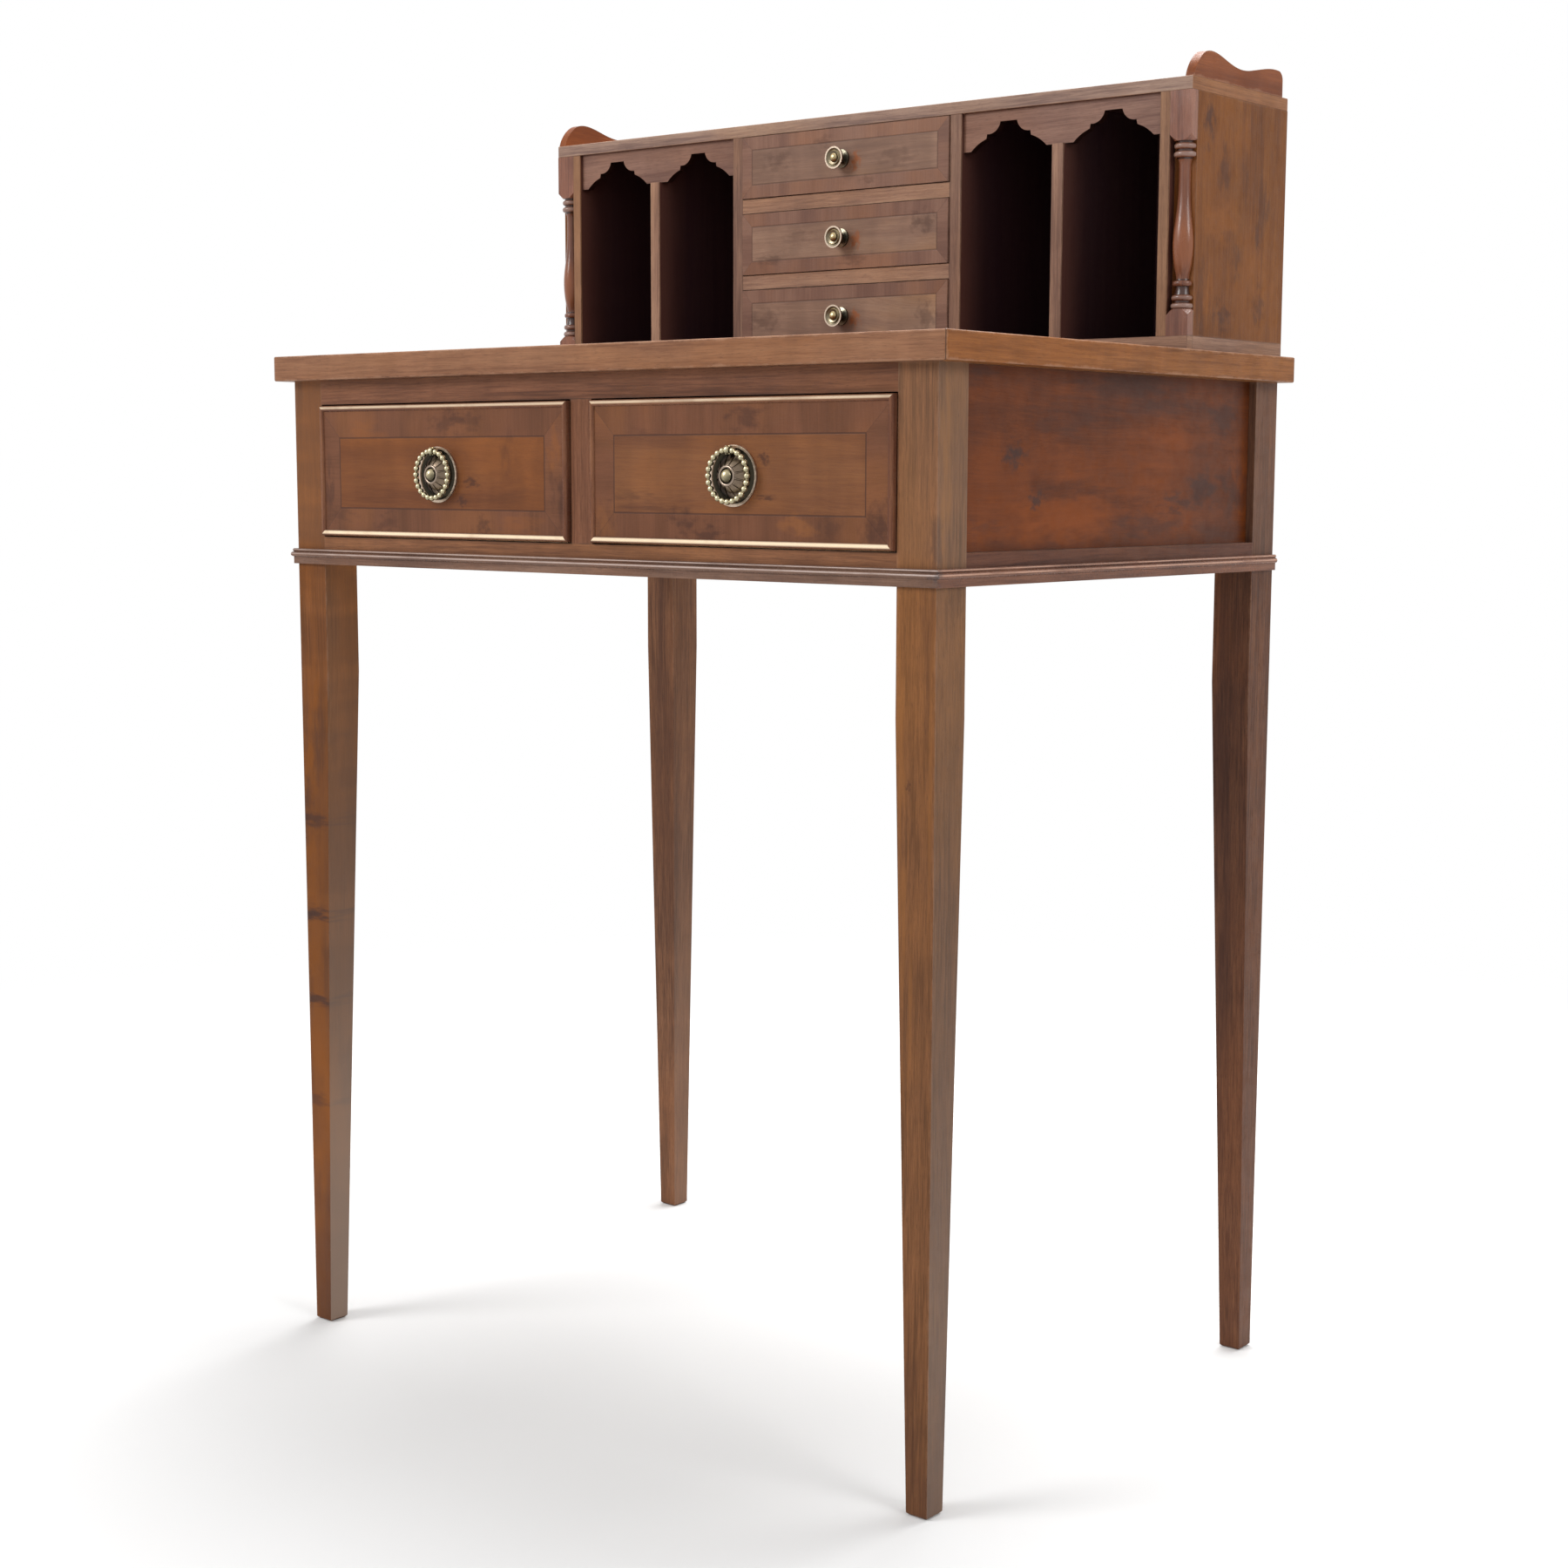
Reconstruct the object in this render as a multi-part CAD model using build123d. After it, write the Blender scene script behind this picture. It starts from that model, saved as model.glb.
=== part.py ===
from build123d import *
import os
from math import atan2, degrees, hypot, sqrt

# A small writing desk on four tapered legs: two frieze drawers with ring handles
# under the top, and an upper cabinet with three small drawers and four pigeonholes.
# Millimetres, +Z up. The front faces -Y. The origin is on the floor under the
# middle of the desk top.

# Desk top
top_width = 635.0
top_depth = 437.0
top_height = 760.0
top_thickness = 18.5
top_lipping_width = 22.0
top_edge_round = 1.2
top_corner_round = 2.5

# Carcass and legs
side_overhang = 13.0
front_overhang = 10.0
rear_overhang = 3.0
frieze_height = 138.0
leg_square = 31.0
foot_square = 17.0
taper_drop = 83.5
foot_chamfer = 1.5

# Frieze rails and panels
top_rail_height = 18.0
bottom_rail_height = 21.0
rail_depth = 22.0
muntin_width = 20.0
side_rail_thickness = 20.0
side_panel_thickness = 12.0
side_panel_recess = 6.0
rear_panel_thickness = 9.0
rear_panel_inset = 3.0
groove_depth = 6.0
tenon_length = 12.0
tenon_thickness = 8.0
tenon_shoulder = 3.0
fit_clearance = 0.1

# Reeded moulding under the frieze
moulding_height = 11.5
moulding_band_depth = 2.6
moulding_small_bead_radius = 1.2
moulding_small_bead_reach = 3.2
moulding_main_bead_radius = 1.9
moulding_main_bead_reach = 4.3

# Runners, guides and kickers inside the frieze
runner_width = 24.0
runner_thickness = 16.0
guide_height = 20.0
kicker_width = 24.0
kicker_clearance = 1.5

# Frieze drawers
drawer_gap = 1.0
slide_clearance = 0.3
drawer_front_thickness = 18.0
drawer_front_proud = 2.5
bead_width = 4.4
bead_depth = 7.0
bead_proud = 1.6
bead_round_share = 0.43
drawer_lap_cover = 8.0
drawer_side_thickness = 8.0
drawer_side_drop = 7.7
drawer_back_clearance = 8.0
drawer_back_drop = 6.0
drawer_bottom_thickness = 4.0
drawer_bottom_height = 7.0
drawer_bottom_tongue = 4.0

# Ring handles of the frieze drawers
handle_drop = 2.5
plate_radius = 20.1
plate_floor = 0.8
plate_rim_width = 1.6
plate_rim_height = 1.4
rosette_radius = 14.0
rosette_edge_height = 1.6
rosette_crown_height = 5.0
rosette_top_height = 7.4
petal_count = 12
petal_groove_radius = 0.7
collar_radius = 7.0
collar_height = 8.4
collar_groove_height = 7.2
boss_groove_radius = 5.0
boss_radius = 4.2
boss_shoulder_height = 8.3
boss_height = 11.0
ring_radius = 16.8
ring_wire_radius = 1.0
ring_offset = 6.8
ring_place_count = 24
ring_bead_radius = 2.05
ring_pin_radius = 0.9
pin_clearance = 0.05
lug_width = 3.9
lug_radius = 2.75
lug_side_gap = 0.35
stud_radius = 2.0
nut_radius = 4.2
nut_thickness = 3.0

# Upper cabinet
gallery_side_inset = 10.5
gallery_depth = 135.0
gallery_rear_inset = 4.0
gallery_height = 186.0
gallery_base_thickness = 10.0
gallery_top_thickness = 9.0
gallery_top_edge_round = 0.5
gallery_side_thickness = 17.5
gallery_lining_thickness = 8.0
gallery_back_thickness = 6.0
case_outer_width = 223.0
case_wall_thickness = 10.0
case_rail_thickness = 11.0
divider_thickness = 9.5
spindle_recess = 7.5

# Pigeonhole apron: half of an arch, from its middle outwards and down
apron_thickness = 6.0
apron_recess = 3.0
arch_crown_width = 14.6
arch_crown_depth = 8.0
arch_round_reach = 11.7
arch_round_drop = 8.2
arch_notch_reach = 0.8
arch_notch_drop = 3.4
arch_curve_reach = 13.6
arch_curve_drop = 8.4
arch_curve_bulge = 1.0

# Split spindles between their blocks at the front corners
spindle_top_block = 34.0
spindle_bottom_block = 18.5
spindle_shoulder_radius = 7.9
spindle_shoulder_rise = 4.2
spindle_foot_ring_radius = 8.3
spindle_middle_ring_radius = 7.9
spindle_collar_radius = 7.4
spindle_flare_ring_radius = 8.3
spindle_head_ring_radius = 8.1
spindle_groove_radius = 5.9
spindle_ankle_radius = 4.9
spindle_vase_radius = 7.8
spindle_neck_radius = 4.4
spindle_flare_radius = 7.4
# Heights as shares of the turned length; the vase as pairs of height and radius
spindle_ring_share = 0.036
spindle_ring_round_share = 0.45
spindle_gap_share = 0.013
spindle_cove_share = 0.05
spindle_neck_share = 0.76
spindle_bell_share = 0.855
spindle_vase_shares = ((0.234, 0.76), (0.29, 0.905), (0.375, 1.0), (0.47, 0.93), (0.58, 0.72))

# Scroll brackets on the cabinet top
scroll_thickness = 7.0
scroll_front_inset = 1.5
scroll_rear_inset = 8.5
scroll_front_rise = 19.2
scroll_dip_rise = 11.7
scroll_rear_rise = 17.8
scroll_rear_round = 6.5
scroll_rear_round_limit_share = 0.8
# Pairs of a share of the curved length and a share of the rise, the fall or the lift
scroll_front_shares = ((0.047, 0.547), (0.084, 0.766), (0.121, 0.911), (0.19, 1.0))
scroll_fall_shares = ((0.367, 0.51), (0.456, 0.17), (0.553, 0.0))
scroll_lift_shares = ((0.74, 0.46), (0.86, 0.88))

# Small drawers and their knobs
small_gap = 0.5
small_front_thickness = 10.0
small_front_proud = 1.2
small_side_thickness = 5.0
small_side_drop = 5.0
small_back_clearance = 5.0
small_bottom_thickness = 3.0
small_bottom_height = 3.0
small_bottom_tongue = 2.0
small_lap_cover = 4.0
knob_radius = 8.3
knob_rim = 1.3
knob_rose_radius = 7.0
knob_rose_height = 3.0
knob_waist_radius = 2.8
knob_waist_length = 4.2
knob_flare_length = 2.2
knob_edge_thickness = 1.4
knob_dish_depth = 0.6
knob_ring_radius = 5.8
knob_button_radius = 3.3
knob_button_rise = 1.6
knob_screw_radius = 1.6
knob_screw_head_radius = 3.2
knob_screw_head_height = 1.6

# Overrun of cutting tools past the faces that they cut
overrun = 5.0

# Places that follow from the sizes
top_front = -top_depth / 2
top_rear = top_depth / 2
top_under = top_height - top_thickness
carcass_side = top_width / 2 - side_overhang
carcass_front = top_front + front_overhang
carcass_rear = top_rear - rear_overhang
frieze_bottom = top_under - frieze_height
taper_start = frieze_bottom - taper_drop
leg_inner = carcass_side - leg_square
rail_top = frieze_bottom + bottom_rail_height
opening_top = top_under - top_rail_height
rail_back = carcass_front + rail_depth
panel_outer = carcass_side - side_panel_recess
panel_inner = panel_outer - side_panel_thickness
rear_panel_back = carcass_rear - rear_panel_inset
rear_panel_front = rear_panel_back - rear_panel_thickness
muntin_side = muntin_width / 2
drawer_inner = muntin_side + drawer_gap
drawer_outer = leg_inner - drawer_gap
drawer_middle = (drawer_inner + drawer_outer) / 2
field_front = carcass_front - drawer_front_proud
drawer_board_back = field_front + drawer_front_thickness
drawer_low = rail_top + drawer_gap
drawer_high = opening_top - drawer_gap
drawer_side_low = rail_top + slide_clearance
drawer_side_high = drawer_high - drawer_side_drop
drawer_side_front = field_front + drawer_lap_cover
drawer_box_rear = rear_panel_front - drawer_back_clearance
handle_height = (drawer_low + drawer_high) / 2 - handle_drop
gallery_side = top_width / 2 - gallery_side_inset
gallery_rear = top_rear - gallery_rear_inset
gallery_front = gallery_rear - gallery_depth
gallery_top = top_height + gallery_height
gallery_floor = top_height + gallery_base_thickness
gallery_ceiling = gallery_top - gallery_top_thickness
gallery_back_front = gallery_rear - gallery_back_thickness
lining_outer = gallery_side - gallery_side_thickness
lining_inner = lining_outer - gallery_lining_thickness
case_outer = case_outer_width / 2
case_inner = case_outer - case_wall_thickness
divider_middle = (case_outer + lining_inner) / 2
divider_near = divider_middle - divider_thickness / 2
divider_far = divider_middle + divider_thickness / 2
case_opening_height = (gallery_ceiling - gallery_floor - 2 * case_rail_thickness) / 3
recess_front = gallery_front + spindle_recess
apron_low = gallery_ceiling - arch_crown_depth - arch_round_drop - arch_notch_drop - arch_curve_drop
small_board_front = gallery_front - small_front_proud
small_board_back = small_board_front + small_front_thickness
small_side_front = small_board_front + small_lap_cover


def block(x, y, z):
    """A board between the low and high edge of each axis."""
    sizes = [high - low for low, high in (x, y, z)]
    middles = [(high + low) / 2 for low, high in (x, y, z)]
    return Pos(*middles) * Box(*sizes)


def mortice(x, y, z):
    """The room that a tenon of these edges needs, with its clearance all round."""
    return block(*((low - fit_clearance, high + fit_clearance) for low, high in (x, y, z)))


def sided(side, near, far):
    """Edges at two distances from the middle, on the left (-1) or the right (1)."""
    return tuple(sorted((side * near, side * far)))


def prism(points, low, high):
    """A plan outline raised between two heights."""
    outline = make_face(Polyline(*points, close=True))
    return Pos(0, 0, low) * extrude(outline, high - low)


def turned(profile):
    """A profile of radius and height turned about an axis that points to the front."""
    return Rot(0, 0, 180) * revolve(profile, Axis.Y)


def dome(radius, low, high):
    """Half of a shallow dome's outline, from its edge up to its middle."""
    rise = high - low
    bend = (radius ** 2 + rise ** 2) / (2 * rise)
    half = radius / 2
    return ThreePointArc((radius, low), (half, high - bend + sqrt(bend ** 2 - half ** 2)), (0, high))


def write(name, shape):
    shape.label = name
    export_step(shape, f"parts/{name}.step")


def write_pair(name, make):
    """The left and right pieces of a pair."""
    for side, side_name in ((-1, "left"), (1, "right")):
        write(f"{name}_{side_name}", make(side))


# Joints between the rails, panels and legs

def front_tenon(side, low, high):
    """A front rail's tenon in a front leg."""
    middle = carcass_front + rail_depth / 2
    return (
        sided(side, leg_inner, leg_inner + tenon_length),
        (middle - tenon_thickness / 2, middle + tenon_thickness / 2),
        (low + tenon_shoulder, high - tenon_shoulder),
    )


def side_rail_tenon(side, end):
    """A side rail's tenon in the front (-1) or rear (1) leg."""
    middle = carcass_side - side_rail_thickness / 2
    if end < 0:
        shoulder = carcass_front + leg_square
        depth = (shoulder - tenon_length, shoulder)
    else:
        shoulder = carcass_rear - leg_square
        depth = (shoulder, shoulder + tenon_length)
    return (
        sided(side, middle - tenon_thickness / 2, middle + tenon_thickness / 2),
        depth,
        (frieze_bottom + tenon_shoulder, rail_top - tenon_shoulder),
    )


def side_panel_edges(side):
    return (
        sided(side, panel_inner, panel_outer),
        (carcass_front + leg_square - groove_depth, carcass_rear - leg_square + groove_depth),
        (rail_top, top_under),
    )


def rear_panel_edges():
    reach = leg_inner + groove_depth
    return (-reach, reach), (rear_panel_front, rear_panel_back), (frieze_bottom, top_under)


# Legs, rails and panels of the carcass

def leg(side, end):
    """A square leg whose two inner faces taper to the foot."""
    def section(size, height):
        x = side * (carcass_side - size / 2)
        y = carcass_front + size / 2 if end < 0 else carcass_rear - size / 2
        return Pos(x, y, height) * Rectangle(size, size)

    lower = loft([section(foot_square, 0), section(leg_square, taper_start)])
    foot_edges = lower.faces().sort_by(Axis.Z)[0].edges()
    lower = chamfer(foot_edges, min(foot_chamfer, foot_square / 3))
    upper = extrude(section(leg_square, taper_start), top_under - taper_start)
    whole = lower + upper
    whole -= mortice(*side_rail_tenon(side, end))
    whole -= mortice(*side_panel_edges(side))
    if end < 0:
        whole -= mortice(*front_tenon(side, frieze_bottom, rail_top))
        whole -= mortice(*front_tenon(side, opening_top, top_under))
    else:
        whole -= mortice(*rear_panel_edges())
    return whole


def front_rail(low, high):
    rail = block((-leg_inner, leg_inner), (carcass_front, rail_back), (low, high))
    for side in (-1, 1):
        rail += block(*front_tenon(side, low, high))
    return rail


def side_rail(side):
    rail = block(
        sided(side, carcass_side - side_rail_thickness, carcass_side),
        (carcass_front + leg_square, carcass_rear - leg_square),
        (frieze_bottom, rail_top),
    )
    for end in (-1, 1):
        rail += block(*side_rail_tenon(side, end))
    return rail


def muntin():
    return block((-muntin_side, muntin_side), (carcass_front, rail_back), (rail_top, opening_top))


# Reeded moulding

def moulding_section():
    """Height of the moulding above its lower edge, and its reach from the carcass."""
    band = Pos(moulding_band_depth / 2, moulding_height / 2) * Rectangle(
        moulding_band_depth, moulding_height)
    small_up = moulding_height - moulding_small_bead_radius
    main_up = small_up - moulding_small_bead_radius - moulding_main_bead_radius
    small_out = moulding_small_bead_reach - moulding_small_bead_radius
    main_out = moulding_main_bead_reach - moulding_main_bead_radius
    beads = Pos(small_out, small_up) * Circle(moulding_small_bead_radius)
    beads += Pos(main_out, main_up) * Circle(moulding_main_bead_radius)
    wall = Pos(-overrun / 2, moulding_height / 2) * Rectangle(overrun, moulding_height)
    return band + beads - wall


def moulding_front():
    reach = moulding_main_bead_reach
    plane = Plane(origin=(0, carcass_front, frieze_bottom), x_dir=(0, -1, 0), z_dir=(-1, 0, 0))
    bar = extrude(plane * moulding_section(), carcass_side + overrun, both=True)
    plan = [
        (-carcass_side, carcass_front),
        (-carcass_side - reach, carcass_front - reach),
        (carcass_side + reach, carcass_front - reach),
        (carcass_side, carcass_front),
    ]
    return bar & prism(plan, frieze_bottom, frieze_bottom + moulding_height)


def moulding_side(side):
    reach = moulding_main_bead_reach
    plane = Plane(origin=(carcass_side, 0, frieze_bottom), x_dir=(1, 0, 0), z_dir=(0, -1, 0))
    bar = extrude(plane * moulding_section(), top_depth, both=True)
    plan = [
        (carcass_side, carcass_front),
        (carcass_side + reach, carcass_front - reach),
        (carcass_side + reach, carcass_rear),
        (carcass_side, carcass_rear),
    ]
    bar = bar & prism(plan, frieze_bottom, frieze_bottom + moulding_height)
    return bar if side > 0 else mirror(bar, Plane.YZ)


# Desk top: a panel with mitred lippings on its front and sides

def top_blank():
    board = block((-top_width / 2, top_width / 2), (top_front, top_rear), (top_under, top_height))
    board = fillet(board.edges().filter_by(Axis.Z), top_corner_round)
    round_size = min(top_edge_round, top_corner_round / 2, top_thickness / 3)
    rims = board.edges().group_by(Axis.Z)
    return fillet(rims[0] + rims[-1], round_size)


def top_region(points):
    return top_blank() & prism(points, top_under, top_height)


def top_panel():
    side = top_width / 2 - top_lipping_width
    front = top_front + top_lipping_width
    return top_region([(-side, front), (side, front), (side, top_rear), (-side, top_rear)])


def top_lipping_front():
    inner = top_width / 2 - top_lipping_width
    outer = top_width / 2
    front = top_front + top_lipping_width
    return top_region([(-inner, front), (-outer, top_front), (outer, top_front), (inner, front)])


def top_lipping_side(side):
    inner = side * (top_width / 2 - top_lipping_width)
    outer = side * top_width / 2
    front = top_front + top_lipping_width
    return top_region([(inner, front), (outer, top_front), (outer, top_rear), (inner, top_rear)])


# Runners, guides and kickers that carry and steer the frieze drawers

def runner_set(low, high, width, outer_edge):
    """A middle strip and two outer strips that run from the front to the back."""
    depth = (rail_back, rear_panel_front)
    strips = [block((-width / 2 - muntin_side, width / 2 + muntin_side), depth, (low, high))]
    for side in (-1, 1):
        strips.append(block(sided(side, leg_inner - width / 2, outer_edge), depth, (low, high)))
    return strips


def notch_for_legs(strip):
    """The strip is cut round the legs and the side rails."""
    for side in (-1, 1):
        for low, high in (
            (carcass_front - overrun, carcass_front + leg_square),
            (carcass_rear - leg_square, carcass_rear + overrun),
        ):
            strip -= block(sided(side, leg_inner, carcass_side), (low, high), (0, top_height))
    return strip


def drawer_runners():
    outer_edge = carcass_side - side_rail_thickness
    strips = runner_set(rail_top - runner_thickness, rail_top, runner_width, outer_edge)
    return Compound(children=[notch_for_legs(strip) for strip in strips])


def drawer_guides():
    high = rail_top + guide_height
    guides = [block((-muntin_side, muntin_side), (rail_back, rear_panel_front), (rail_top, high))]
    for side in (-1, 1):
        depth = (carcass_front + leg_square, carcass_rear - leg_square)
        guides.append(block(sided(side, leg_inner, panel_inner), depth, (rail_top, high)))
    return Compound(children=guides)


def drawer_kickers():
    low = drawer_side_high + kicker_clearance
    strips = runner_set(low, top_under, kicker_width, panel_inner)
    return Compound(children=[notch_for_legs(strip) for strip in strips])


# Frieze drawers

def drawer_front(side):
    """The drawer's front board, with a step round its edge for the bead."""
    step_back = field_front - bead_proud + bead_depth
    core = block(
        sided(side, drawer_inner + bead_width, drawer_outer - bead_width),
        (field_front, drawer_board_back),
        (drawer_low + bead_width, drawer_high - bead_width),
    )
    back = block(
        sided(side, drawer_inner, drawer_outer),
        (step_back, drawer_board_back),
        (drawer_low, drawer_high),
    )
    board = core + back
    for near, far in (
        (drawer_inner - overrun, drawer_inner + drawer_side_thickness),
        (drawer_outer - drawer_side_thickness, drawer_outer + overrun),
    ):
        board -= block(
            sided(side, near, far),
            (drawer_side_front, drawer_board_back + overrun),
            (drawer_low - overrun, drawer_side_high),
        )
    bottom_low = drawer_side_low + drawer_bottom_height
    board -= block(
        sided(side, drawer_inner + drawer_side_thickness, drawer_outer - drawer_side_thickness),
        (drawer_board_back - drawer_bottom_tongue, drawer_board_back + overrun),
        (bottom_low, bottom_low + drawer_bottom_thickness),
    )
    return board - handle_bore(side, stud_radius + fit_clearance)


def drawer_bead(side):
    """The rounded bead that frames the drawer's front."""
    depth = (field_front - bead_proud, field_front - bead_proud + bead_depth)
    outer = block(sided(side, drawer_inner, drawer_outer), depth, (drawer_low, drawer_high))
    inner = block(
        sided(side, drawer_inner + bead_width, drawer_outer - bead_width),
        (depth[0] - overrun, depth[1] + overrun),
        (drawer_low + bead_width, drawer_high - bead_width),
    )
    frame = outer - inner
    front_edges = frame.edges().group_by(Axis.Y)[0]
    return fillet(front_edges, bead_width * bead_round_share)


def drawer_box(side):
    """The drawer's two sides, back and bottom board."""
    bottom_low = drawer_side_low + drawer_bottom_height
    bottom_high = bottom_low + drawer_bottom_thickness
    inner_near = drawer_inner + drawer_side_thickness
    inner_far = drawer_outer - drawer_side_thickness
    bottom = block(
        sided(side, inner_near - drawer_bottom_tongue, inner_far + drawer_bottom_tongue),
        (drawer_board_back, drawer_box_rear),
        (bottom_low, bottom_high),
    )
    bottom += block(
        sided(side, inner_near, inner_far),
        (drawer_board_back - drawer_bottom_tongue, drawer_board_back),
        (bottom_low, bottom_high),
    )
    boards = [bottom]
    for near, far in ((drawer_inner, inner_near), (inner_far, drawer_outer)):
        board = block(
            sided(side, near, far),
            (drawer_side_front, drawer_box_rear),
            (drawer_side_low, drawer_side_high),
        )
        boards.append(board - bottom)
    boards.append(block(
        sided(side, inner_near, inner_far),
        (drawer_box_rear - drawer_side_thickness, drawer_box_rear),
        (bottom_high, drawer_side_high - drawer_back_drop),
    ))
    return Compound(children=boards)


# Ring handles

def handle_place(side, out=0):
    """The handle's middle, a distance out from the drawer's face."""
    return Pos(side * drawer_middle, field_front - out, handle_height)


def handle_bore(side, radius):
    """A bore through the drawer's front board for the handle's stud."""
    depth = drawer_front_thickness + overrun
    return handle_place(side, -depth / 2) * Rot(90, 0, 0) * Cylinder(radius, depth + overrun)


def plate_section():
    """Half of the plate: rim, floor, arched rosette, round collar, groove and domed boss."""
    rim_inner = plate_radius - plate_rim_width
    edges = Polyline(
        (0, 0), (plate_radius, 0), (plate_radius, plate_rim_height),
        (rim_inner, plate_rim_height), (rim_inner, plate_floor),
        (rosette_radius, plate_floor), (rosette_radius, rosette_edge_height),
    )
    edges += ThreePointArc(
        (rosette_radius, rosette_edge_height),
        ((rosette_radius + collar_radius) / 2, rosette_crown_height),
        (collar_radius, rosette_top_height),
    )
    edges += ThreePointArc(
        (collar_radius, rosette_top_height),
        ((collar_radius + boss_groove_radius) / 2, collar_height),
        (boss_groove_radius, collar_groove_height),
    )
    edges += Polyline(
        (boss_groove_radius, collar_groove_height), (boss_radius, collar_groove_height),
        (boss_radius, boss_shoulder_height),
    )
    edges += dome(boss_radius, boss_shoulder_height, boss_height)
    edges += Line((0, boss_height), (0, 0))
    return make_face(edges)


def petal_groove():
    """A round groove that runs down the rosette, from the collar to the plate's floor."""
    fall = rosette_top_height - rosette_edge_height
    run = rosette_radius - collar_radius
    groove = Rot(0, 90, 0) * Cylinder(petal_groove_radius, hypot(run, fall))
    middle = Pos(collar_radius + run / 2, -(rosette_top_height + rosette_edge_height) / 2, 0)
    return middle * Rot(0, 0, degrees(atan2(fall, run))) * groove


def handle_plate(side):
    """The back plate with its rosette and hinge lug, and the stud and nut behind it."""
    plate = turned(plate_section())
    for number in range(petal_count):
        plate -= Rot(0, 360 / petal_count * (number + 0.5), 0) * petal_groove()
    lug = Sphere(lug_radius) & Box(lug_width, 2 * lug_radius, 2 * lug_radius)
    lug = Pos(0, -ring_offset, ring_radius) * lug
    lug += block(
        (-lug_width / 2, lug_width / 2),
        (-ring_offset, -plate_floor / 2),
        (ring_radius - lug_radius, ring_radius + lug_radius),
    )
    bore = Rot(0, 90, 0) * Cylinder(ring_pin_radius + pin_clearance, lug_width + overrun)
    lug -= Pos(0, -ring_offset, ring_radius) * bore
    stud_length = drawer_front_thickness + nut_thickness
    stud = Pos(0, stud_length / 2, 0) * Rot(90, 0, 0) * Cylinder(stud_radius, stud_length)
    nut = extrude(Plane.XZ * RegularPolygon(nut_radius, 6), -nut_thickness)
    nut = Pos(0, drawer_front_thickness, 0) * nut
    return handle_place(side) * (plate + lug + stud + nut)


def handle_ring(side):
    """The beaded ring with the pin that hangs in the lug."""
    gap = lug_width / 2 + lug_side_gap
    ring = Rot(90, 0, 0) * Torus(ring_radius, ring_wire_radius)
    ring -= block(
        (-gap, gap),
        (-ring_wire_radius - overrun, ring_wire_radius + overrun),
        (ring_radius / 2, ring_radius + ring_wire_radius + overrun),
    )
    pin = Rot(0, 90, 0) * Cylinder(ring_pin_radius, 2 * (gap + ring_wire_radius))
    ring += Pos(0, 0, ring_radius) * pin
    for number in range(1, ring_place_count):
        turn = Rot(0, 360 / ring_place_count * number, 0)
        ring += turn * Pos(0, 0, ring_radius) * Sphere(ring_bead_radius)
    return handle_place(side, ring_offset) * ring


# Upper cabinet

def gallery_base():
    """The floor board of the cabinet, behind its front strip."""
    return block(
        (-gallery_side, gallery_side), (recess_front, gallery_rear), (top_height, gallery_floor))


def gallery_base_strip():
    return block(
        (-gallery_side, gallery_side), (gallery_front, recess_front), (top_height, gallery_floor))


def gallery_side_panel(side):
    return block(
        sided(side, lining_outer, gallery_side),
        (recess_front, gallery_rear),
        (gallery_floor, gallery_ceiling),
    )


def gallery_lining(side):
    return block(
        sided(side, lining_inner, lining_outer),
        (gallery_front, gallery_back_front),
        (gallery_floor, gallery_ceiling),
    )


def gallery_divider(side):
    """A pigeonhole divider, cut out at the top for the apron in front of it."""
    board = block(
        sided(side, divider_near, divider_far),
        (gallery_front, gallery_back_front),
        (gallery_floor, gallery_ceiling),
    )
    return board - block(
        sided(side, divider_near - overrun, divider_far + overrun),
        (gallery_front - overrun, gallery_front + apron_recess + apron_thickness),
        (apron_low, gallery_ceiling + overrun),
    )


def case_wall(side):
    return block(
        sided(side, case_inner, case_outer),
        (gallery_front, gallery_back_front),
        (gallery_floor, gallery_ceiling),
    )


def case_opening_low(number):
    """The floor of a small drawer's opening, counted from the lowest."""
    return gallery_floor + number * (case_opening_height + case_rail_thickness)


def case_rails():
    """The two boards between the small drawers."""
    rails = []
    for number in (1, 2):
        high = case_opening_low(number)
        rails.append(block(
            (-case_inner, case_inner),
            (gallery_front, gallery_back_front),
            (high - case_rail_thickness, high),
        ))
    return Compound(children=rails)


def gallery_back():
    return block(
        (-lining_outer, lining_outer),
        (gallery_back_front, gallery_rear),
        (gallery_floor, gallery_ceiling),
    )


def gallery_top_board():
    board = block(
        (-gallery_side, gallery_side),
        (gallery_front, gallery_rear),
        (gallery_ceiling, gallery_top),
    )
    return fillet(board.edges(), min(gallery_top_edge_round, gallery_top_thickness / 3))


# Shaped aprons of the pigeonholes

def half_arch(middle, way):
    """Half an arch from its crown down to the apron's foot, to one way of its middle."""
    def place(reach, drop):
        return middle + way * reach, gallery_ceiling - arch_crown_depth - drop

    crown = arch_crown_width / 2
    shelf = crown + arch_round_reach
    notch = shelf + arch_notch_reach
    low_notch = arch_round_drop + arch_notch_drop
    foot = notch + arch_curve_reach
    foot_drop = low_notch + arch_curve_drop
    slope = 1 / sqrt(2)
    bulge = arch_curve_bulge * slope
    top = place(crown, 0)
    shoulder = place(shelf, arch_round_drop)
    quarter = place(shelf - arch_round_reach * slope, arch_round_drop * slope)
    step = place(notch, low_notch)
    bend = place((notch + foot) / 2 + bulge, (low_notch + foot_drop) / 2 - bulge)
    end = place(foot, foot_drop)
    base = (end[0], apron_low - overrun)
    return [
        Line((middle, top[1]), top),
        ThreePointArc(top, quarter, shoulder),
        Line(shoulder, step),
        ThreePointArc(step, bend, end),
        Line(end, base),
        Line(base, (middle, base[1])),
        Line((middle, base[1]), (middle, top[1])),
    ]


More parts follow.
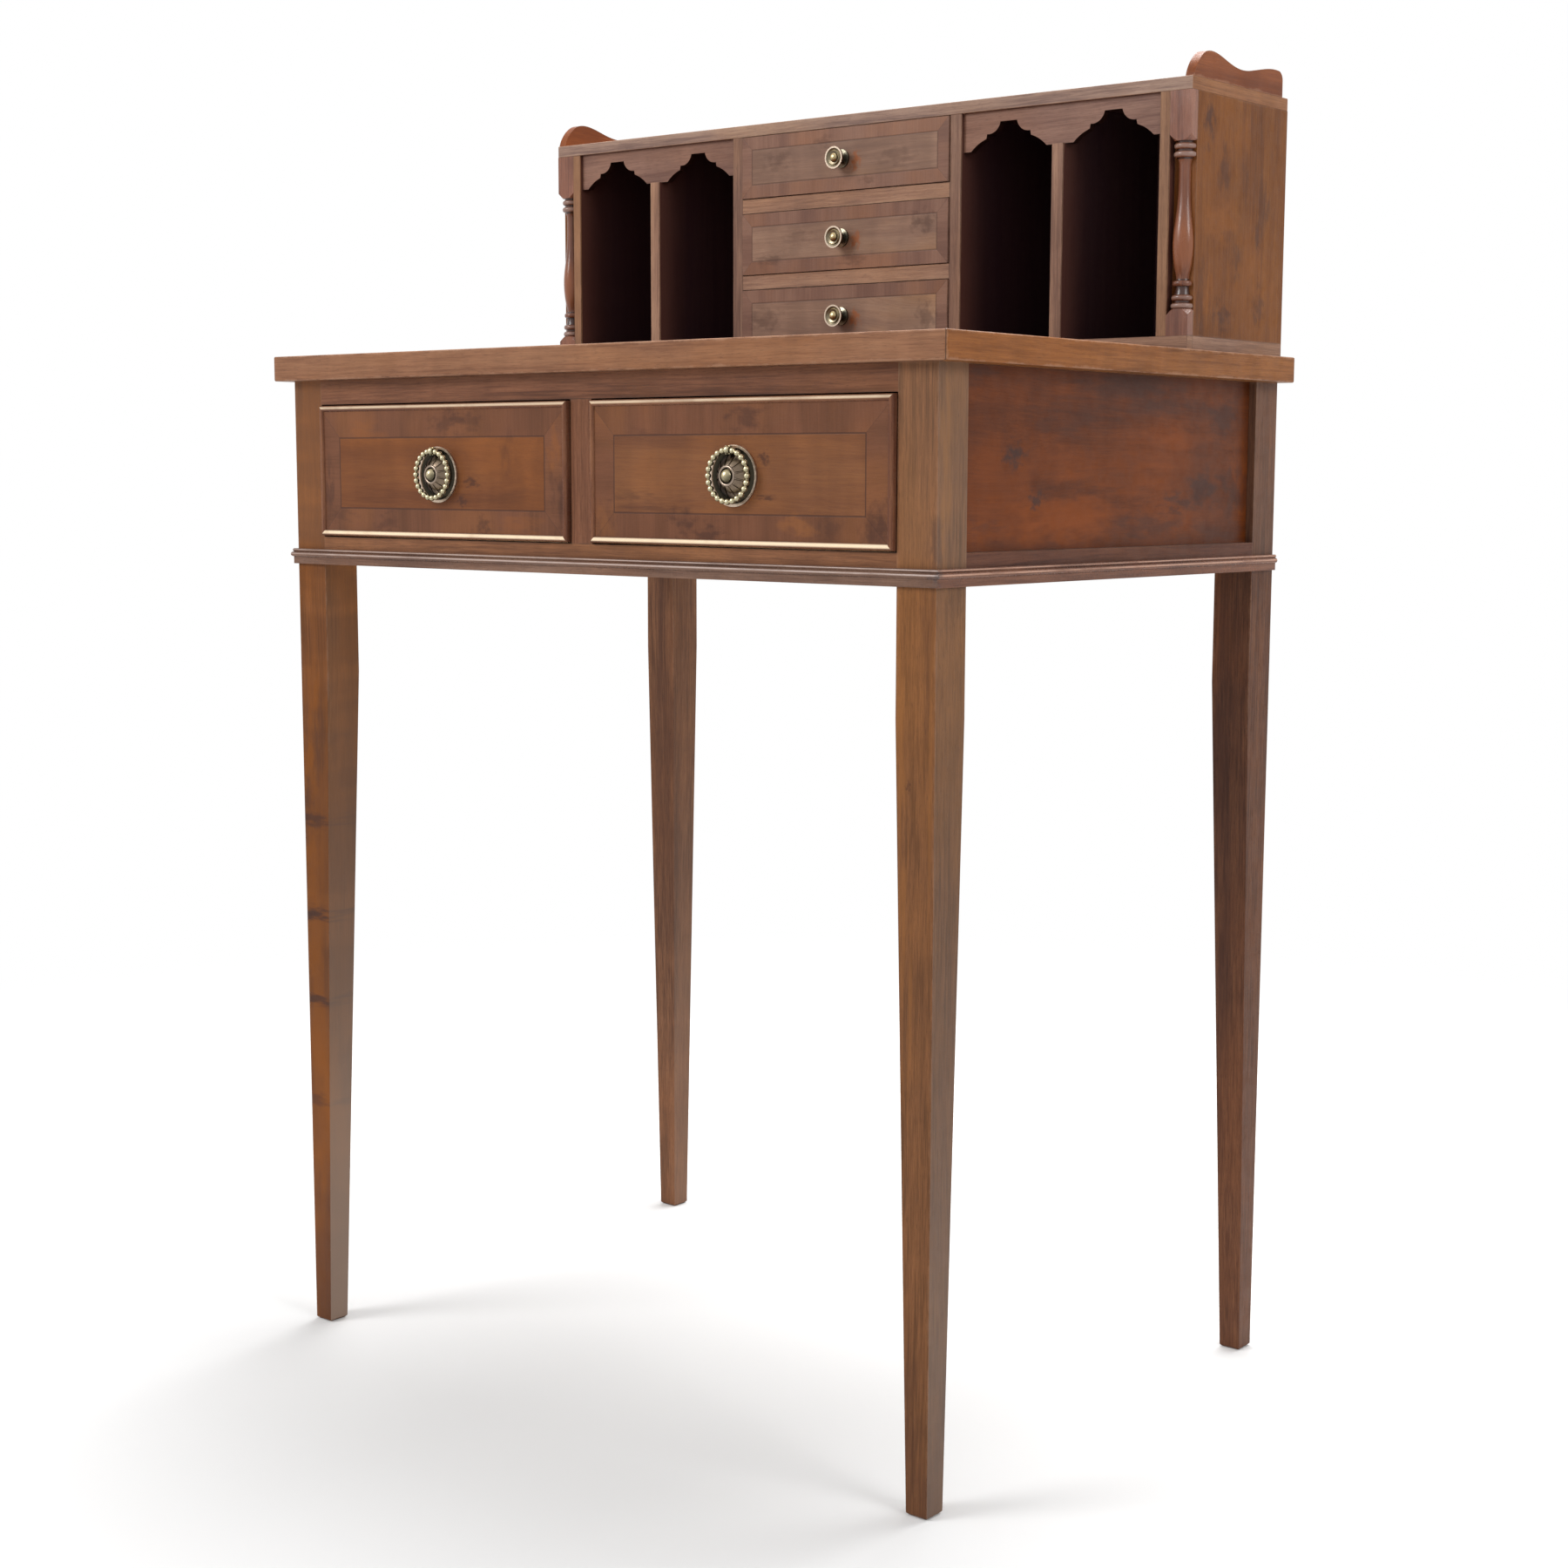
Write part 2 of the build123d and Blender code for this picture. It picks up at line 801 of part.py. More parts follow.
def apron(side):
    """The shaped board over the two pigeonholes of one side."""
    board = block(
        (case_outer, lining_inner),
        (gallery_front + apron_recess, gallery_front + apron_recess + apron_thickness),
        (apron_low, gallery_ceiling),
    )
    plane = Plane(origin=(0, gallery_front - overrun, 0), x_dir=(1, 0, 0), z_dir=(0, -1, 0))
    for near, far in ((case_outer, divider_near), (divider_far, lining_inner)):
        for way in (-1, 1):
            outline = plane * make_face(half_arch((near + far) / 2, way))
            board -= extrude(outline, -gallery_depth)
    return board if side > 0 else mirror(board, Plane.YZ)


# Split spindles

def spindle_ring(radius, low, high):
    """A rounded ring on the turning."""
    ring = Pos(0, 0, (low + high) / 2) * Cylinder(radius, high - low)
    return fillet(ring.edges(), min((high - low) * spindle_ring_round_share, radius / 3))


def spindle_turning():
    """The turned part: rings, a cove, a vase, a long neck, a bell and rings under the head."""
    low = gallery_floor + spindle_bottom_block
    high = gallery_ceiling - spindle_top_block
    length = high - low
    ring = length * spindle_ring_share
    gap = length * spindle_gap_share
    small = spindle_groove_radius
    middle_ring = low + ring + gap
    cove = middle_ring + ring
    collar = cove + length * spindle_cove_share
    collar_middle = collar + ring / 2
    head_ring = high - gap
    flare_ring = head_ring - ring - gap
    flare_middle = flare_ring - ring / 2
    vase = [
        (small, collar_middle),
        (spindle_ankle_radius, collar + ring + gap / 2),
        *((spindle_vase_radius * across, low + length * up) for up, across in spindle_vase_shares),
        (spindle_neck_radius, low + length * spindle_neck_share),
        (spindle_neck_radius, low + length * spindle_bell_share),
    ]
    outline = [
        Polyline((0, low), (small, low), (small, cove)),
        TangentArc((spindle_ankle_radius, collar), (small, cove), tangent=(0, -1)),
        Line((spindle_ankle_radius, collar), (small, collar)),
        Line((small, collar), (small, collar_middle)),
        Spline(vase),
        TangentArc(vase[-1], (spindle_flare_radius, flare_middle), tangent=(0, 1)),
        Polyline((spindle_flare_radius, flare_middle), (small, flare_middle), (small, high)),
        Polyline((small, high), (0, high), (0, low)),
    ]
    turning = revolve(Plane.XZ * make_face(outline), Axis.Z)
    turning += spindle_ring(spindle_foot_ring_radius, low, low + ring)
    turning += spindle_ring(spindle_middle_ring_radius, middle_ring, middle_ring + ring)
    turning += spindle_ring(spindle_collar_radius, collar, collar + ring)
    turning += spindle_ring(spindle_flare_ring_radius, flare_ring - ring, flare_ring)
    turning += spindle_ring(spindle_head_ring_radius, head_ring - ring, head_ring)
    return turning


def spindle_shoulder(end, far):
    """The room left for a square block where its end is turned off to a shoulder."""
    corner = hypot(gallery_side_thickness / 2, spindle_recess)
    rise = spindle_shoulder_rise if far > end else -spindle_shoulder_rise
    wide = 2 * corner - spindle_shoulder_radius
    outline = Polyline(
        (0, end), (spindle_shoulder_radius, end), (wide, end + 2 * rise), (wide, far), (0, far),
        close=True)
    return revolve(Plane.XZ * make_face(outline), Axis.Z)


def spindle(side):
    """A turning split down its middle, with a square block at each end."""
    middle = side * (lining_outer + gallery_side) / 2
    whole = Pos(middle, recess_front, 0) * spindle_turning()
    whole &= block(
        sided(side, lining_outer, gallery_side),
        (gallery_front - overrun, recess_front),
        (gallery_floor, gallery_ceiling),
    )
    for far, end in (
        (gallery_floor, gallery_floor + spindle_bottom_block),
        (gallery_ceiling, gallery_ceiling - spindle_top_block),
    ):
        square = block(
            sided(side, lining_outer, gallery_side),
            (gallery_front, recess_front),
            sorted((end, far)),
        )
        whole += square & Pos(middle, recess_front, 0) * spindle_shoulder(end, far)
    return whole


# Scroll brackets

def scroll(side):
    """A bracket that swells at the front, dips, and ends in a low rounded swell."""
    front = gallery_front + scroll_front_inset
    rear = gallery_rear - scroll_rear_inset
    rear_round = min(scroll_rear_round, scroll_rear_rise * scroll_rear_round_limit_share)
    length = rear - rear_round - front
    foot = gallery_top
    fall = scroll_front_rise - scroll_dip_rise
    lift = scroll_rear_rise - scroll_dip_rise
    low = foot + scroll_dip_rise
    points = [(front, foot)]
    points += [(front + length * a, foot + scroll_front_rise * b) for a, b in scroll_front_shares]
    points += [(front + length * a, low + fall * b) for a, b in scroll_fall_shares]
    points += [(front + length * a, low + lift * b) for a, b in scroll_lift_shares]
    rear_top = (rear - rear_round, foot + scroll_rear_rise)
    rear_low = (rear, rear_top[1] - rear_round)
    slack = rear_round * (1 - 1 / sqrt(2))
    outline = [
        Spline(points + [rear_top]),
        ThreePointArc(rear_top, (rear - slack, rear_top[1] - slack), rear_low),
        Polyline(rear_low, (rear, foot), (front, foot)),
    ]
    outer = gallery_side - scroll_thickness if side > 0 else -gallery_side
    face = Plane.YZ * make_face(outline)
    return Pos(outer, 0, 0) * extrude(face, scroll_thickness)


# Small drawers

def small_front(number):
    """A small drawer's front, with rebates for its sides and a bore for its knob."""
    low = case_opening_low(number) + small_gap
    high = case_opening_low(number) + case_opening_height - small_gap
    outer = case_inner - small_gap
    board = block((-outer, outer), (small_board_front, small_board_back), (low, high))
    for side in (-1, 1):
        board -= block(
            sided(side, outer - small_side_thickness, outer + overrun),
            (small_side_front, small_board_back + overrun),
            (low - overrun, high - small_side_drop),
        )
    bottom_low = low + small_bottom_height
    board -= block(
        (-outer + small_side_thickness, outer - small_side_thickness),
        (small_board_back - small_bottom_tongue, small_board_back + overrun),
        (bottom_low, bottom_low + small_bottom_thickness),
    )
    depth = small_front_thickness + overrun
    bore = Rot(90, 0, 0) * Cylinder(knob_screw_radius + fit_clearance, 2 * depth)
    return board - Pos(0, small_board_front, (low + high) / 2) * bore


def small_box(number):
    """A small drawer's sides, back and bottom board."""
    low = case_opening_low(number) + small_gap
    high = case_opening_low(number) + case_opening_height - small_gap - small_side_drop
    outer = case_inner - small_gap
    inner = outer - small_side_thickness
    rear = gallery_back_front - small_back_clearance
    bottom_low = low + small_bottom_height
    bottom_high = bottom_low + small_bottom_thickness
    reach = inner + small_bottom_tongue
    bottom = block((-reach, reach), (small_board_back, rear), (bottom_low, bottom_high))
    bottom += block(
        (-inner, inner),
        (small_board_back - small_bottom_tongue, small_board_back),
        (bottom_low, bottom_high),
    )
    boards = [bottom]
    side_low = case_opening_low(number) + slide_clearance
    for side in (-1, 1):
        board = block(sided(side, inner, outer), (small_side_front, rear), (side_low, high))
        boards.append(board - bottom)
    boards.append(block(
        (-inner, inner), (rear - small_side_thickness, rear), (bottom_high, high)))
    return Compound(children=boards)


def knob_section():
    """Half of the knob: rose, waist, and a dished head with a ring and a button."""
    waist_top = knob_rose_height + knob_waist_length
    head_back = waist_top + knob_flare_length
    head_front = head_back + knob_edge_thickness
    end = head_front + knob_button_rise
    rim_inner = knob_radius - knob_rim
    dish = head_front - knob_dish_depth
    ring_inner = knob_ring_radius - knob_rim / 2
    outline = Polyline(
        (0, 0), (knob_rose_radius, 0), (knob_rose_radius, knob_rose_height / 2),
        (knob_waist_radius, knob_rose_height), (knob_waist_radius, waist_top),
        (knob_radius, head_back), (knob_radius, head_front),
        (rim_inner, head_front), (knob_ring_radius, dish),
        (ring_inner, head_front), (knob_button_radius, dish),
        (knob_button_radius, head_front),
    )
    outline += dome(knob_button_radius, head_front, end)
    return make_face(outline + Line((0, end), (0, 0)))


def knob(number):
    """A turned knob with the screw that holds it from inside the drawer."""
    low = case_opening_low(number)
    height = low + case_opening_height / 2
    whole = turned(knob_section())
    length = small_front_thickness + knob_screw_head_height
    screw = Pos(0, length / 2, 0) * Rot(90, 0, 0) * Cylinder(knob_screw_radius, length)
    head_middle = small_front_thickness + knob_screw_head_height / 2
    head = Rot(90, 0, 0) * Cylinder(knob_screw_head_radius, knob_screw_head_height)
    whole += screw + Pos(0, head_middle, 0) * head
    return Pos(0, small_board_front, height) * whole


def build():
    os.makedirs("parts", exist_ok=True)
    for end, end_name in ((-1, "front"), (1, "rear")):
        write_pair(f"leg_{end_name}", lambda side: leg(side, end))
    write("front_top_rail", front_rail(opening_top, top_under))
    write("front_bottom_rail", front_rail(frieze_bottom, rail_top))
    write("front_muntin", muntin())
    write_pair("side_panel", lambda side: block(*side_panel_edges(side)))
    write_pair("side_rail", side_rail)
    write("rear_panel", block(*rear_panel_edges()))
    write("moulding_front", moulding_front())
    write_pair("moulding", moulding_side)
    write("drawer_runners", drawer_runners())
    write("drawer_guides", drawer_guides())
    write("drawer_kickers", drawer_kickers())
    write("top_panel", top_panel())
    write("top_lipping_front", top_lipping_front())
    write_pair("top_lipping", top_lipping_side)
    write_pair("drawer_front", drawer_front)
    write_pair("drawer_bead", drawer_bead)
    write_pair("drawer_box", drawer_box)
    write_pair("handle_plate", handle_plate)
    write_pair("handle_ring", handle_ring)
    write("gallery_base", gallery_base())
    write("gallery_base_strip", gallery_base_strip())
    write_pair("gallery_side", gallery_side_panel)
    write_pair("gallery_lining", gallery_lining)
    write_pair("gallery_divider", gallery_divider)
    write_pair("case_wall", case_wall)
    write("case_rails", case_rails())
    write("gallery_back", gallery_back())
    write("gallery_top", gallery_top_board())
    write_pair("apron", apron)
    write_pair("spindle", spindle)
    write_pair("scroll", scroll)
    for number, name in enumerate(("lower", "middle", "upper")):
        write(f"small_front_{name}", small_front(number))
        write(f"small_box_{name}", small_box(number))
        write(f"small_knob_{name}", knob(number))


build()
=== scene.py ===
import math

import bpy
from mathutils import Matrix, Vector


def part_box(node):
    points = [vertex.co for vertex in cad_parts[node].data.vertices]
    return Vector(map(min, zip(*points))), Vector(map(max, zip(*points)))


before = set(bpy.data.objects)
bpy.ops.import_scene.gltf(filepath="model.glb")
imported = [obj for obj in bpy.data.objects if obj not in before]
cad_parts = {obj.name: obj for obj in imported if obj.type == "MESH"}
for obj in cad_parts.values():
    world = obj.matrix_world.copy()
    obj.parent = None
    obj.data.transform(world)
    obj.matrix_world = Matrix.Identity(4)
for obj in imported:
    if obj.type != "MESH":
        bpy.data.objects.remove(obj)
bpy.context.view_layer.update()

# Metres. The front faces -Y, and the floor is at zero height.
MM = 0.001
white = (1, 1, 1, 1)

# Camera, at the photograph's viewpoint
camera_place = (1.1994, -1.4288, 0.6711)
camera_yaw = math.radians(38.962)
camera_pitch = math.radians(-7.674)
camera_roll = math.radians(0.247)
picture_side = 1800
focal_pixels = 2809.9
centre_pixels = (940.9, 926.1)
sensor_width = 36.0

# Floor and light
floor_radius = 9.0
floor_corners = 96
floor_level = -0.0002
floor_fade_near = 0.85
floor_fade_far = 1.7
floor_colour = (0.72, 0.72, 0.72, 1)
floor_lift = 0.04
world_strength = 0.52
key_place = (-1.9, -3.1, 2.7)
key_size = 1.9
key_power = 96.0
top_place = (-0.10, 0.95, 2.8)
top_size = 2.2
top_power = 104.0
side_place = (3.3, -0.3, 2.3)
side_size = 1.6
side_power = 46.0
lamp_target = (0, 0, 0.55)

# Wood tones of each finish: light, middle, dark, and the warm glow where the varnish has gone orange
leg_tones = (
    (0.254, 0.104, 0.040), (0.195, 0.080, 0.031), (0.101, 0.042, 0.016), (0.294, 0.114, 0.030))
left_leg_tones = (
    (0.236, 0.080, 0.021), (0.181, 0.062, 0.016), (0.095, 0.032, 0.007), (0.232, 0.068, 0.004))
rail_tones = (
    (0.230, 0.096, 0.050), (0.169, 0.067, 0.035), (0.073, 0.029, 0.017), (0.258, 0.100, 0.037))
muntin_tones = (
    (0.214, 0.088, 0.046), (0.157, 0.062, 0.032), (0.068, 0.027, 0.015), (0.240, 0.092, 0.034))
low_rail_tones = (
    (0.286, 0.125, 0.059), (0.209, 0.087, 0.041), (0.090, 0.037, 0.021), (0.320, 0.129, 0.044))
side_rail_tones = (
    (0.129, 0.049, 0.027), (0.095, 0.034, 0.019), (0.041, 0.014, 0.009), (0.145, 0.050, 0.020))
veneer_tones = (
    (0.222, 0.089, 0.035), (0.180, 0.069, 0.029), (0.095, 0.035, 0.019), (0.261, 0.096, 0.029))
left_veneer_tones = (
    (0.214, 0.076, 0.024), (0.173, 0.058, 0.020), (0.091, 0.030, 0.013), (0.250, 0.082, 0.020))
band_tones = (
    (0.173, 0.067, 0.034), (0.144, 0.056, 0.028), (0.089, 0.035, 0.017), (0.237, 0.088, 0.029))
panel_tones = (
    (0.147, 0.035, 0.006), (0.104, 0.024, 0.004), (0.045, 0.012, 0.004), (0.260, 0.058, 0.004))
lipping_tones = (
    (0.302, 0.144, 0.075), (0.232, 0.102, 0.053), (0.104, 0.044, 0.025), (0.297, 0.119, 0.042))
slab_side_tones = (
    (0.291, 0.113, 0.034), (0.223, 0.081, 0.024), (0.100, 0.035, 0.011), (0.285, 0.093, 0.019))
rear_tones = (
    (0.167, 0.069, 0.033), (0.113, 0.044, 0.023), (0.054, 0.021, 0.011), (0.178, 0.064, 0.026))
# The rear legs' tones made lighter for the rear left leg: painted light on faces that sit in shade under
# the desk
rear_left_lit_tones = (
    (0.230, 0.104, 0.050), (0.156, 0.067, 0.034), (0.074, 0.032, 0.017), (0.244, 0.097, 0.039))
lining_tones = (
    (0.317, 0.172, 0.096), (0.251, 0.132, 0.074), (0.119, 0.056, 0.038), (0.357, 0.172, 0.077))
block_tones = (
    (0.289, 0.118, 0.068), (0.223, 0.088, 0.052), (0.104, 0.036, 0.023), (0.327, 0.110, 0.045))
cabinet_tones = (
    (0.393, 0.234, 0.153), (0.297, 0.166, 0.110), (0.131, 0.069, 0.052), (0.437, 0.225, 0.110))
case_tones = (
    (0.300, 0.177, 0.120), (0.227, 0.126, 0.087), (0.100, 0.052, 0.041), (0.333, 0.170, 0.087))
divider_tones = (
    (0.410, 0.246, 0.161), (0.310, 0.176, 0.118), (0.136, 0.073, 0.055), (0.455, 0.238, 0.118))
side_tones = (
    (0.199, 0.069, 0.013), (0.149, 0.048, 0.010), (0.085, 0.027, 0.008), (0.235, 0.078, 0.014))
small_tones = (
    (0.355, 0.227, 0.156), (0.281, 0.167, 0.114), (0.126, 0.071, 0.056), (0.385, 0.210, 0.099))
small_band_tones = (
    (0.257, 0.142, 0.099), (0.211, 0.111, 0.078), (0.122, 0.060, 0.045), (0.314, 0.140, 0.065))
apron_tones = (
    (0.264, 0.149, 0.110), (0.199, 0.106, 0.080), (0.097, 0.046, 0.036), (0.273, 0.131, 0.074))
scroll_tones = (
    (0.273, 0.081, 0.024), (0.207, 0.059, 0.018), (0.092, 0.024, 0.009), (0.306, 0.081, 0.017))
turned_tones = (
    (0.248, 0.097, 0.053), (0.167, 0.060, 0.032), (0.068, 0.023, 0.014), (0.273, 0.089, 0.031))
bead_tones = (
    (0.230, 0.100, 0.050), (0.160, 0.063, 0.034), (0.070, 0.025, 0.016), (0.250, 0.104, 0.045))
moulding_tones = (
    (0.220, 0.124, 0.083), (0.143, 0.073, 0.048), (0.057, 0.025, 0.017), (0.230, 0.101, 0.051))
bare_tones = (
    (0.420, 0.270, 0.140), (0.330, 0.200, 0.098), (0.190, 0.105, 0.050), (0.400, 0.230, 0.100))

# Colours of marks, lines, joints and rubbed wood, and of painted light and shade: highlights on beads,
# moulding, spindles and edges, and shade inside the cabinet, under the aprons, on the legs and beside the
# knobs
# Dark of smoky marks, also of the painted shade towards the legs' feet
smudge_and_shade_colour = (0.050, 0.020, 0.014, 1)
line_colour = (0.040, 0.018, 0.014, 1)
mitre_smudge_colour = (0.055, 0.048, 0.052, 1)
# Painted shadow of the knobs, warm with their reflection
knob_shadow_colour = (0.290, 0.090, 0.028, 1)
# Dark of the joints, also used for the painted shade half way down the legs
joint_and_shade_colour = (0.030, 0.014, 0.010, 1)
# Painted shade on the aprons' undersides and ends
underside_shade_colour = (0.020, 0.008, 0.006, 1)
bloom_colour = (0.230, 0.160, 0.120, 1)
# Pale of worn edges, also a painted highlight along them
wear_and_highlight_colour = (0.400, 0.225, 0.140, 1)
# Painted highlight on the drawers' beads
bead_highlight_colour = (0.920, 0.720, 0.500, 1)
# Painted highlight on the spindles' ring crests
spindle_highlight_colour = (0.250, 0.150, 0.118, 1)
spindle_quirk_colour = (0.055, 0.024, 0.018, 1)
# Painted highlight on the moulding's crests
moulding_highlight_colour = (0.430, 0.320, 0.275, 1)
# Painted shade inside the cabinet's compartments, near the front and deep in
inside_shade_near = (0.075, 0.027, 0.022, 1)
inside_shade_deep = (0.048, 0.022, 0.030, 1)

# Colours of the brass
brass_bright = (0.560, 0.480, 0.300, 1)
brass_middle = (0.330, 0.270, 0.160, 1)
brass_rim = (0.580, 0.460, 0.360, 1)
brass_petal = (0.185, 0.138, 0.098, 1)
# Dark brass of the hollows, also used for the painted dark reflection on the plates
brass_recess_and_reflection = (0.016, 0.014, 0.010, 1)
brass_floor = (0.036, 0.030, 0.020, 1)
brass_wire = (0.320, 0.270, 0.170, 1)
brass_collar = (0.300, 0.235, 0.185, 1)
brass_button = (0.560, 0.440, 0.240, 1)
brass_olive = (0.110, 0.090, 0.055, 1)
brass_rose = (0.250, 0.225, 0.165, 1)
brass_head = (0.230, 0.190, 0.130, 1)
brass_bead = (0.700, 0.620, 0.400, 1)

# Where the brass changes colour, in millimetres: an edge from and to, or a ring's middle and reach
plate_rim_edge = (17.9, 18.4)
plate_petal_edge = (14.4, 13.6)
# The painted dark reflection on the left of the petals: its ring and the side it darkens
plate_reflection_ring = (11, 7)
plate_reflection_side = (3, -6)
plate_collar_ring = (6.1, 1.5)
plate_quirk_ring = (4.7, 0.8)
plate_boss_edge = (4.4, 3.9)
plate_lug_low, plate_lug_reach, plate_lug_depth = 13.9, 19.8, 6.8
knob_rim_edge = (6.9, 7.5)
knob_dish_ring = (5.5, 0.7)
knob_button_edge = (3.5, 3.0)
knob_waist_edge = (2.6, 3.4)
knob_rose_edge = (9.0, 9.6)
ring_bead_reach = 2.05 * MM
ring_bead_edge_shares = (0.45, 0.72)

# How dirty the brass is, with painted light and shade: the painted dark reflection on the plates,
# proudness, the share of brightness left where brass faces away from the light, the way and span of that
# painted light, and its spots and dents
plate_dark_reflection = 0.9
plate_proud, ring_proud = 0.8, 0.85
plate_boss_least, plate_lug_least, knob_least, ring_least = 0.22, 0.35, 0.40, 0.50
brass_light_way, brass_light_span = (-0.42, -0.50, 0.76), (-0.35, 0.85)
patina_shades = {"Bright": white, "Middle": (0.86, 0.86, 0.86, 1), "Dark": (0.35, 0.33, 0.30, 1)}
spot_noise, spot_span, spot_height = (520.0, 5.0, 0.65), (0.3, 0.7, -0.30, 0.30), 0.5
cast_noise = (900.0, 3.0, 0.6)
dirty_span, bright_span = (0.0, 0.5), (0.5, 1.05)
brass_sheen, brass_dulling = 0.28, (0.9, 0.1, 0.0, 0.30)
brass_bump, brass_gloss = 0.00005, 0.5

# How each figure shows in the grain
tone_names = ("Light", "Middle", "Dark", "Warm")
look_names = ("Swirl", "Streaks", "Fibre", "Pores", "Curl", "Blotches", "Glow", "Sheen")
leg_look = (0.010, 95.0, 0.58, 0.52, 0.10, 0.10, 0.42, 0.40)
curly_look = (0.014, 70.0, 0.40, 0.35, 0.30, 0.30, 0.60, 0.40)
rail_look = (0.010, 75.0, 0.42, 0.38, 0.12, 0.24, 0.34, 0.38)
field_look = (0.045, 34.0, 0.26, 0.24, 0.16, 0.20, 0.50, 0.34)
small_look = (0.040, 30.0, 0.22, 0.22, 0.22, 0.38, 0.85, 0.35)
band_look = (0.012, 45.0, 0.24, 0.22, 0.08, 0.38, 0.45, 0.34)
panel_look = (0.060, 36.0, 0.25, 0.28, 0.14, 0.16, 0.16, 0.38)
side_look = (0.020, 60.0, 0.42, 0.45, 0.05, 0.22, 0.34, 0.38)
trim_look = (0.006, 110.0, 0.35, 0.45, 0.10, 0.30, 0.35, 0.26)
turned_look = (0.008, 120.0, 0.30, 0.25, 0.08, 0.15, 0.40, 0.20)
bare_look = (0.012, 70.0, 0.45, 0.45, 0.05, 0.10, 0.20, 0.62)

# Parts of the figure: stretch along and across the board, detail, roughness, and the span that shows
glow_figure = ((5, 14, 14), 3.0, 0.55, (0.46, 0.64))
curl_figure = ((34, 7, 7), 2.0, 0.5, (0.38, 0.62))
blotch_figure = ((7, 17, 17), 4.0, 0.6, (0.52, 0.70))
hair_figure = ((50, 1700, 1700), 2.0, 0.5, (0.42, 0.66))
pore_figure = ((170, 2600, 2600), 2.0, 0.5, (0.56, 0.68))
# The next two break up the painted highlights on the drawers' beads and on the moulding
bead_highlight_break = ((26, 26, 26), 3.0, 0.6, (0.30, 0.55, 0.65, 1.0))
moulding_highlight_break = ((18, 18, 60), 3.0, 0.6, (0.30, 0.55, 0.35, 1.0))
drift_stretch, drift_detail, noise_middle = (2.5, 9, 9), 2.0, (0.5, 0.5, 0.5)
streak_stretch, streak_noise = (0.055, 1, 1), (5.0, 0.6)
fibre_stretch, fibre_noise = (0.035, 1, 1), (620.0, 3.0, 0.65)
light_span, dark_span, dark_by_fibre = (0.44, 0.64), (0.52, 0.36), (0.1, 0.6, 0.35, 0.85)
curl_lift, hair_share = 0.25, 0.55
mottle_noise, mottle_span = (90.0, 4.0, 0.6), (0.35, 0.7, -0.05, 0.09)
pore_roughness, pore_depth, fibre_height = 0.2, 0.6, 0.35

# Varnish: small relief, clear coat and gloss of each kind of piece
wood_bump, wood_coat, wood_gloss = 0.00010, 0.03, 0.12
veneer_coat, bead_coat = 0.04, 0.02
moulding_coat, moulding_gloss = 0.08, 0.2
spindle_coat, spindle_gloss = 0.2, 0.3
coat_roughness = 0.25

# When a face counts as square to an axis, and how what shows near one place fades away from it
facing_span, near_span = (0.6, 0.8), (1.0, 0.25)

# The warmer varnish on the end of the cabinet's top and on the side mouldings, and a painted sheen, paler
# and bluer, on the front of the cabinet's top
end_tint = (0.75, 0.56, 0.38, 1)
side_moulding_tint = (1.04, 0.80, 0.66, 1)
top_edge_sheen_tint = (1.03, 1.18, 1.35, 1)

# Edges: how far they are rubbed pale, partly wear and partly painted highlight, and how dark a joint shows
# along them
open_edges = (0.42, 0.0)
leg_edges = (0.20, 0.0)
side_edges = (0.14, 0.35)
lipping_edges = (0.60, 0.0)
butted_edges = (0.06, 0.62)
bare_edges = (0.15, 0.0)

# Worn edges, partly painted highlight, smoky marks, joints, inlaid lines and the painted shade inside the
# cabinet
wear_width = 0.0014
wear_noise, wear_span = (55.0, 5.0, 0.7), (0.35, 0.75, 0.2, 2.2)
wear_roughness = 0.1
smudge_noise, smudge_rag, smudge_fade = (1.5, 4.0, 0.55), (0.3, 0.7, -0.55, 0.55), (1.25, 0.0)
joint_width = 0.0006
line_width = 1.1 * MM
line_strength, small_line_strength, line_depth = 0.62, 0.42, 0.5
line_softness = (1.25, 0.75)
mitre_width = 0.35 * MM
mitre_softness = (1.3, 0.5, 0.0, 0.55)
top_mitre_width, top_mitre_strength = 0.77 * MM, 0.7
inside_start = 1.2 * MM
inside_reach = 42 * MM
inside_strength = 0.93

# Steps that give the crossband and the cabinet's lippings a figure of their own
band_shifts = (0.37, 0.53)
lipped_shift = 0.6

# The legs' dry varnish: how it grows from top to foot and its share on each leg; painted light and shade on
# each leg's sides; and the painted shade on the stretch half way down
bloom_range = (0.62, 0.05, 0.10, 0.50)
leg_blooms = {"leg_front_left": 1.4, "leg_front_right": 0.85, "leg_rear_left": 0.6, "leg_rear_right": 0.1}
# Painted light and shade: each leg's sides made lighter or darker
leg_side_light = {
    "leg_front_left": (1.28, 1.38, 1.45), "leg_front_right": (0.87, 0.94, 1.02),
    "leg_rear_left": (1.00, 1.00, 1.00), "leg_rear_right": (0.94, 0.94, 0.94),
}
leg_dust_range = (0.600, 0.630, 0.0, 0.14)
leg_shade = 0.22
leg_shade_place = (0.36, 0.24)

# Where the drawers' beads carry painted highlights, along their low and high runs
bead_low_highlight = 2.7 * MM
bead_low_reach = 1.9 * MM
bead_high_highlight = 1.7 * MM
bead_high_reach = 1.4 * MM
bead_high_share = 0.62
bead_highlight_depth = 1.9 * MM

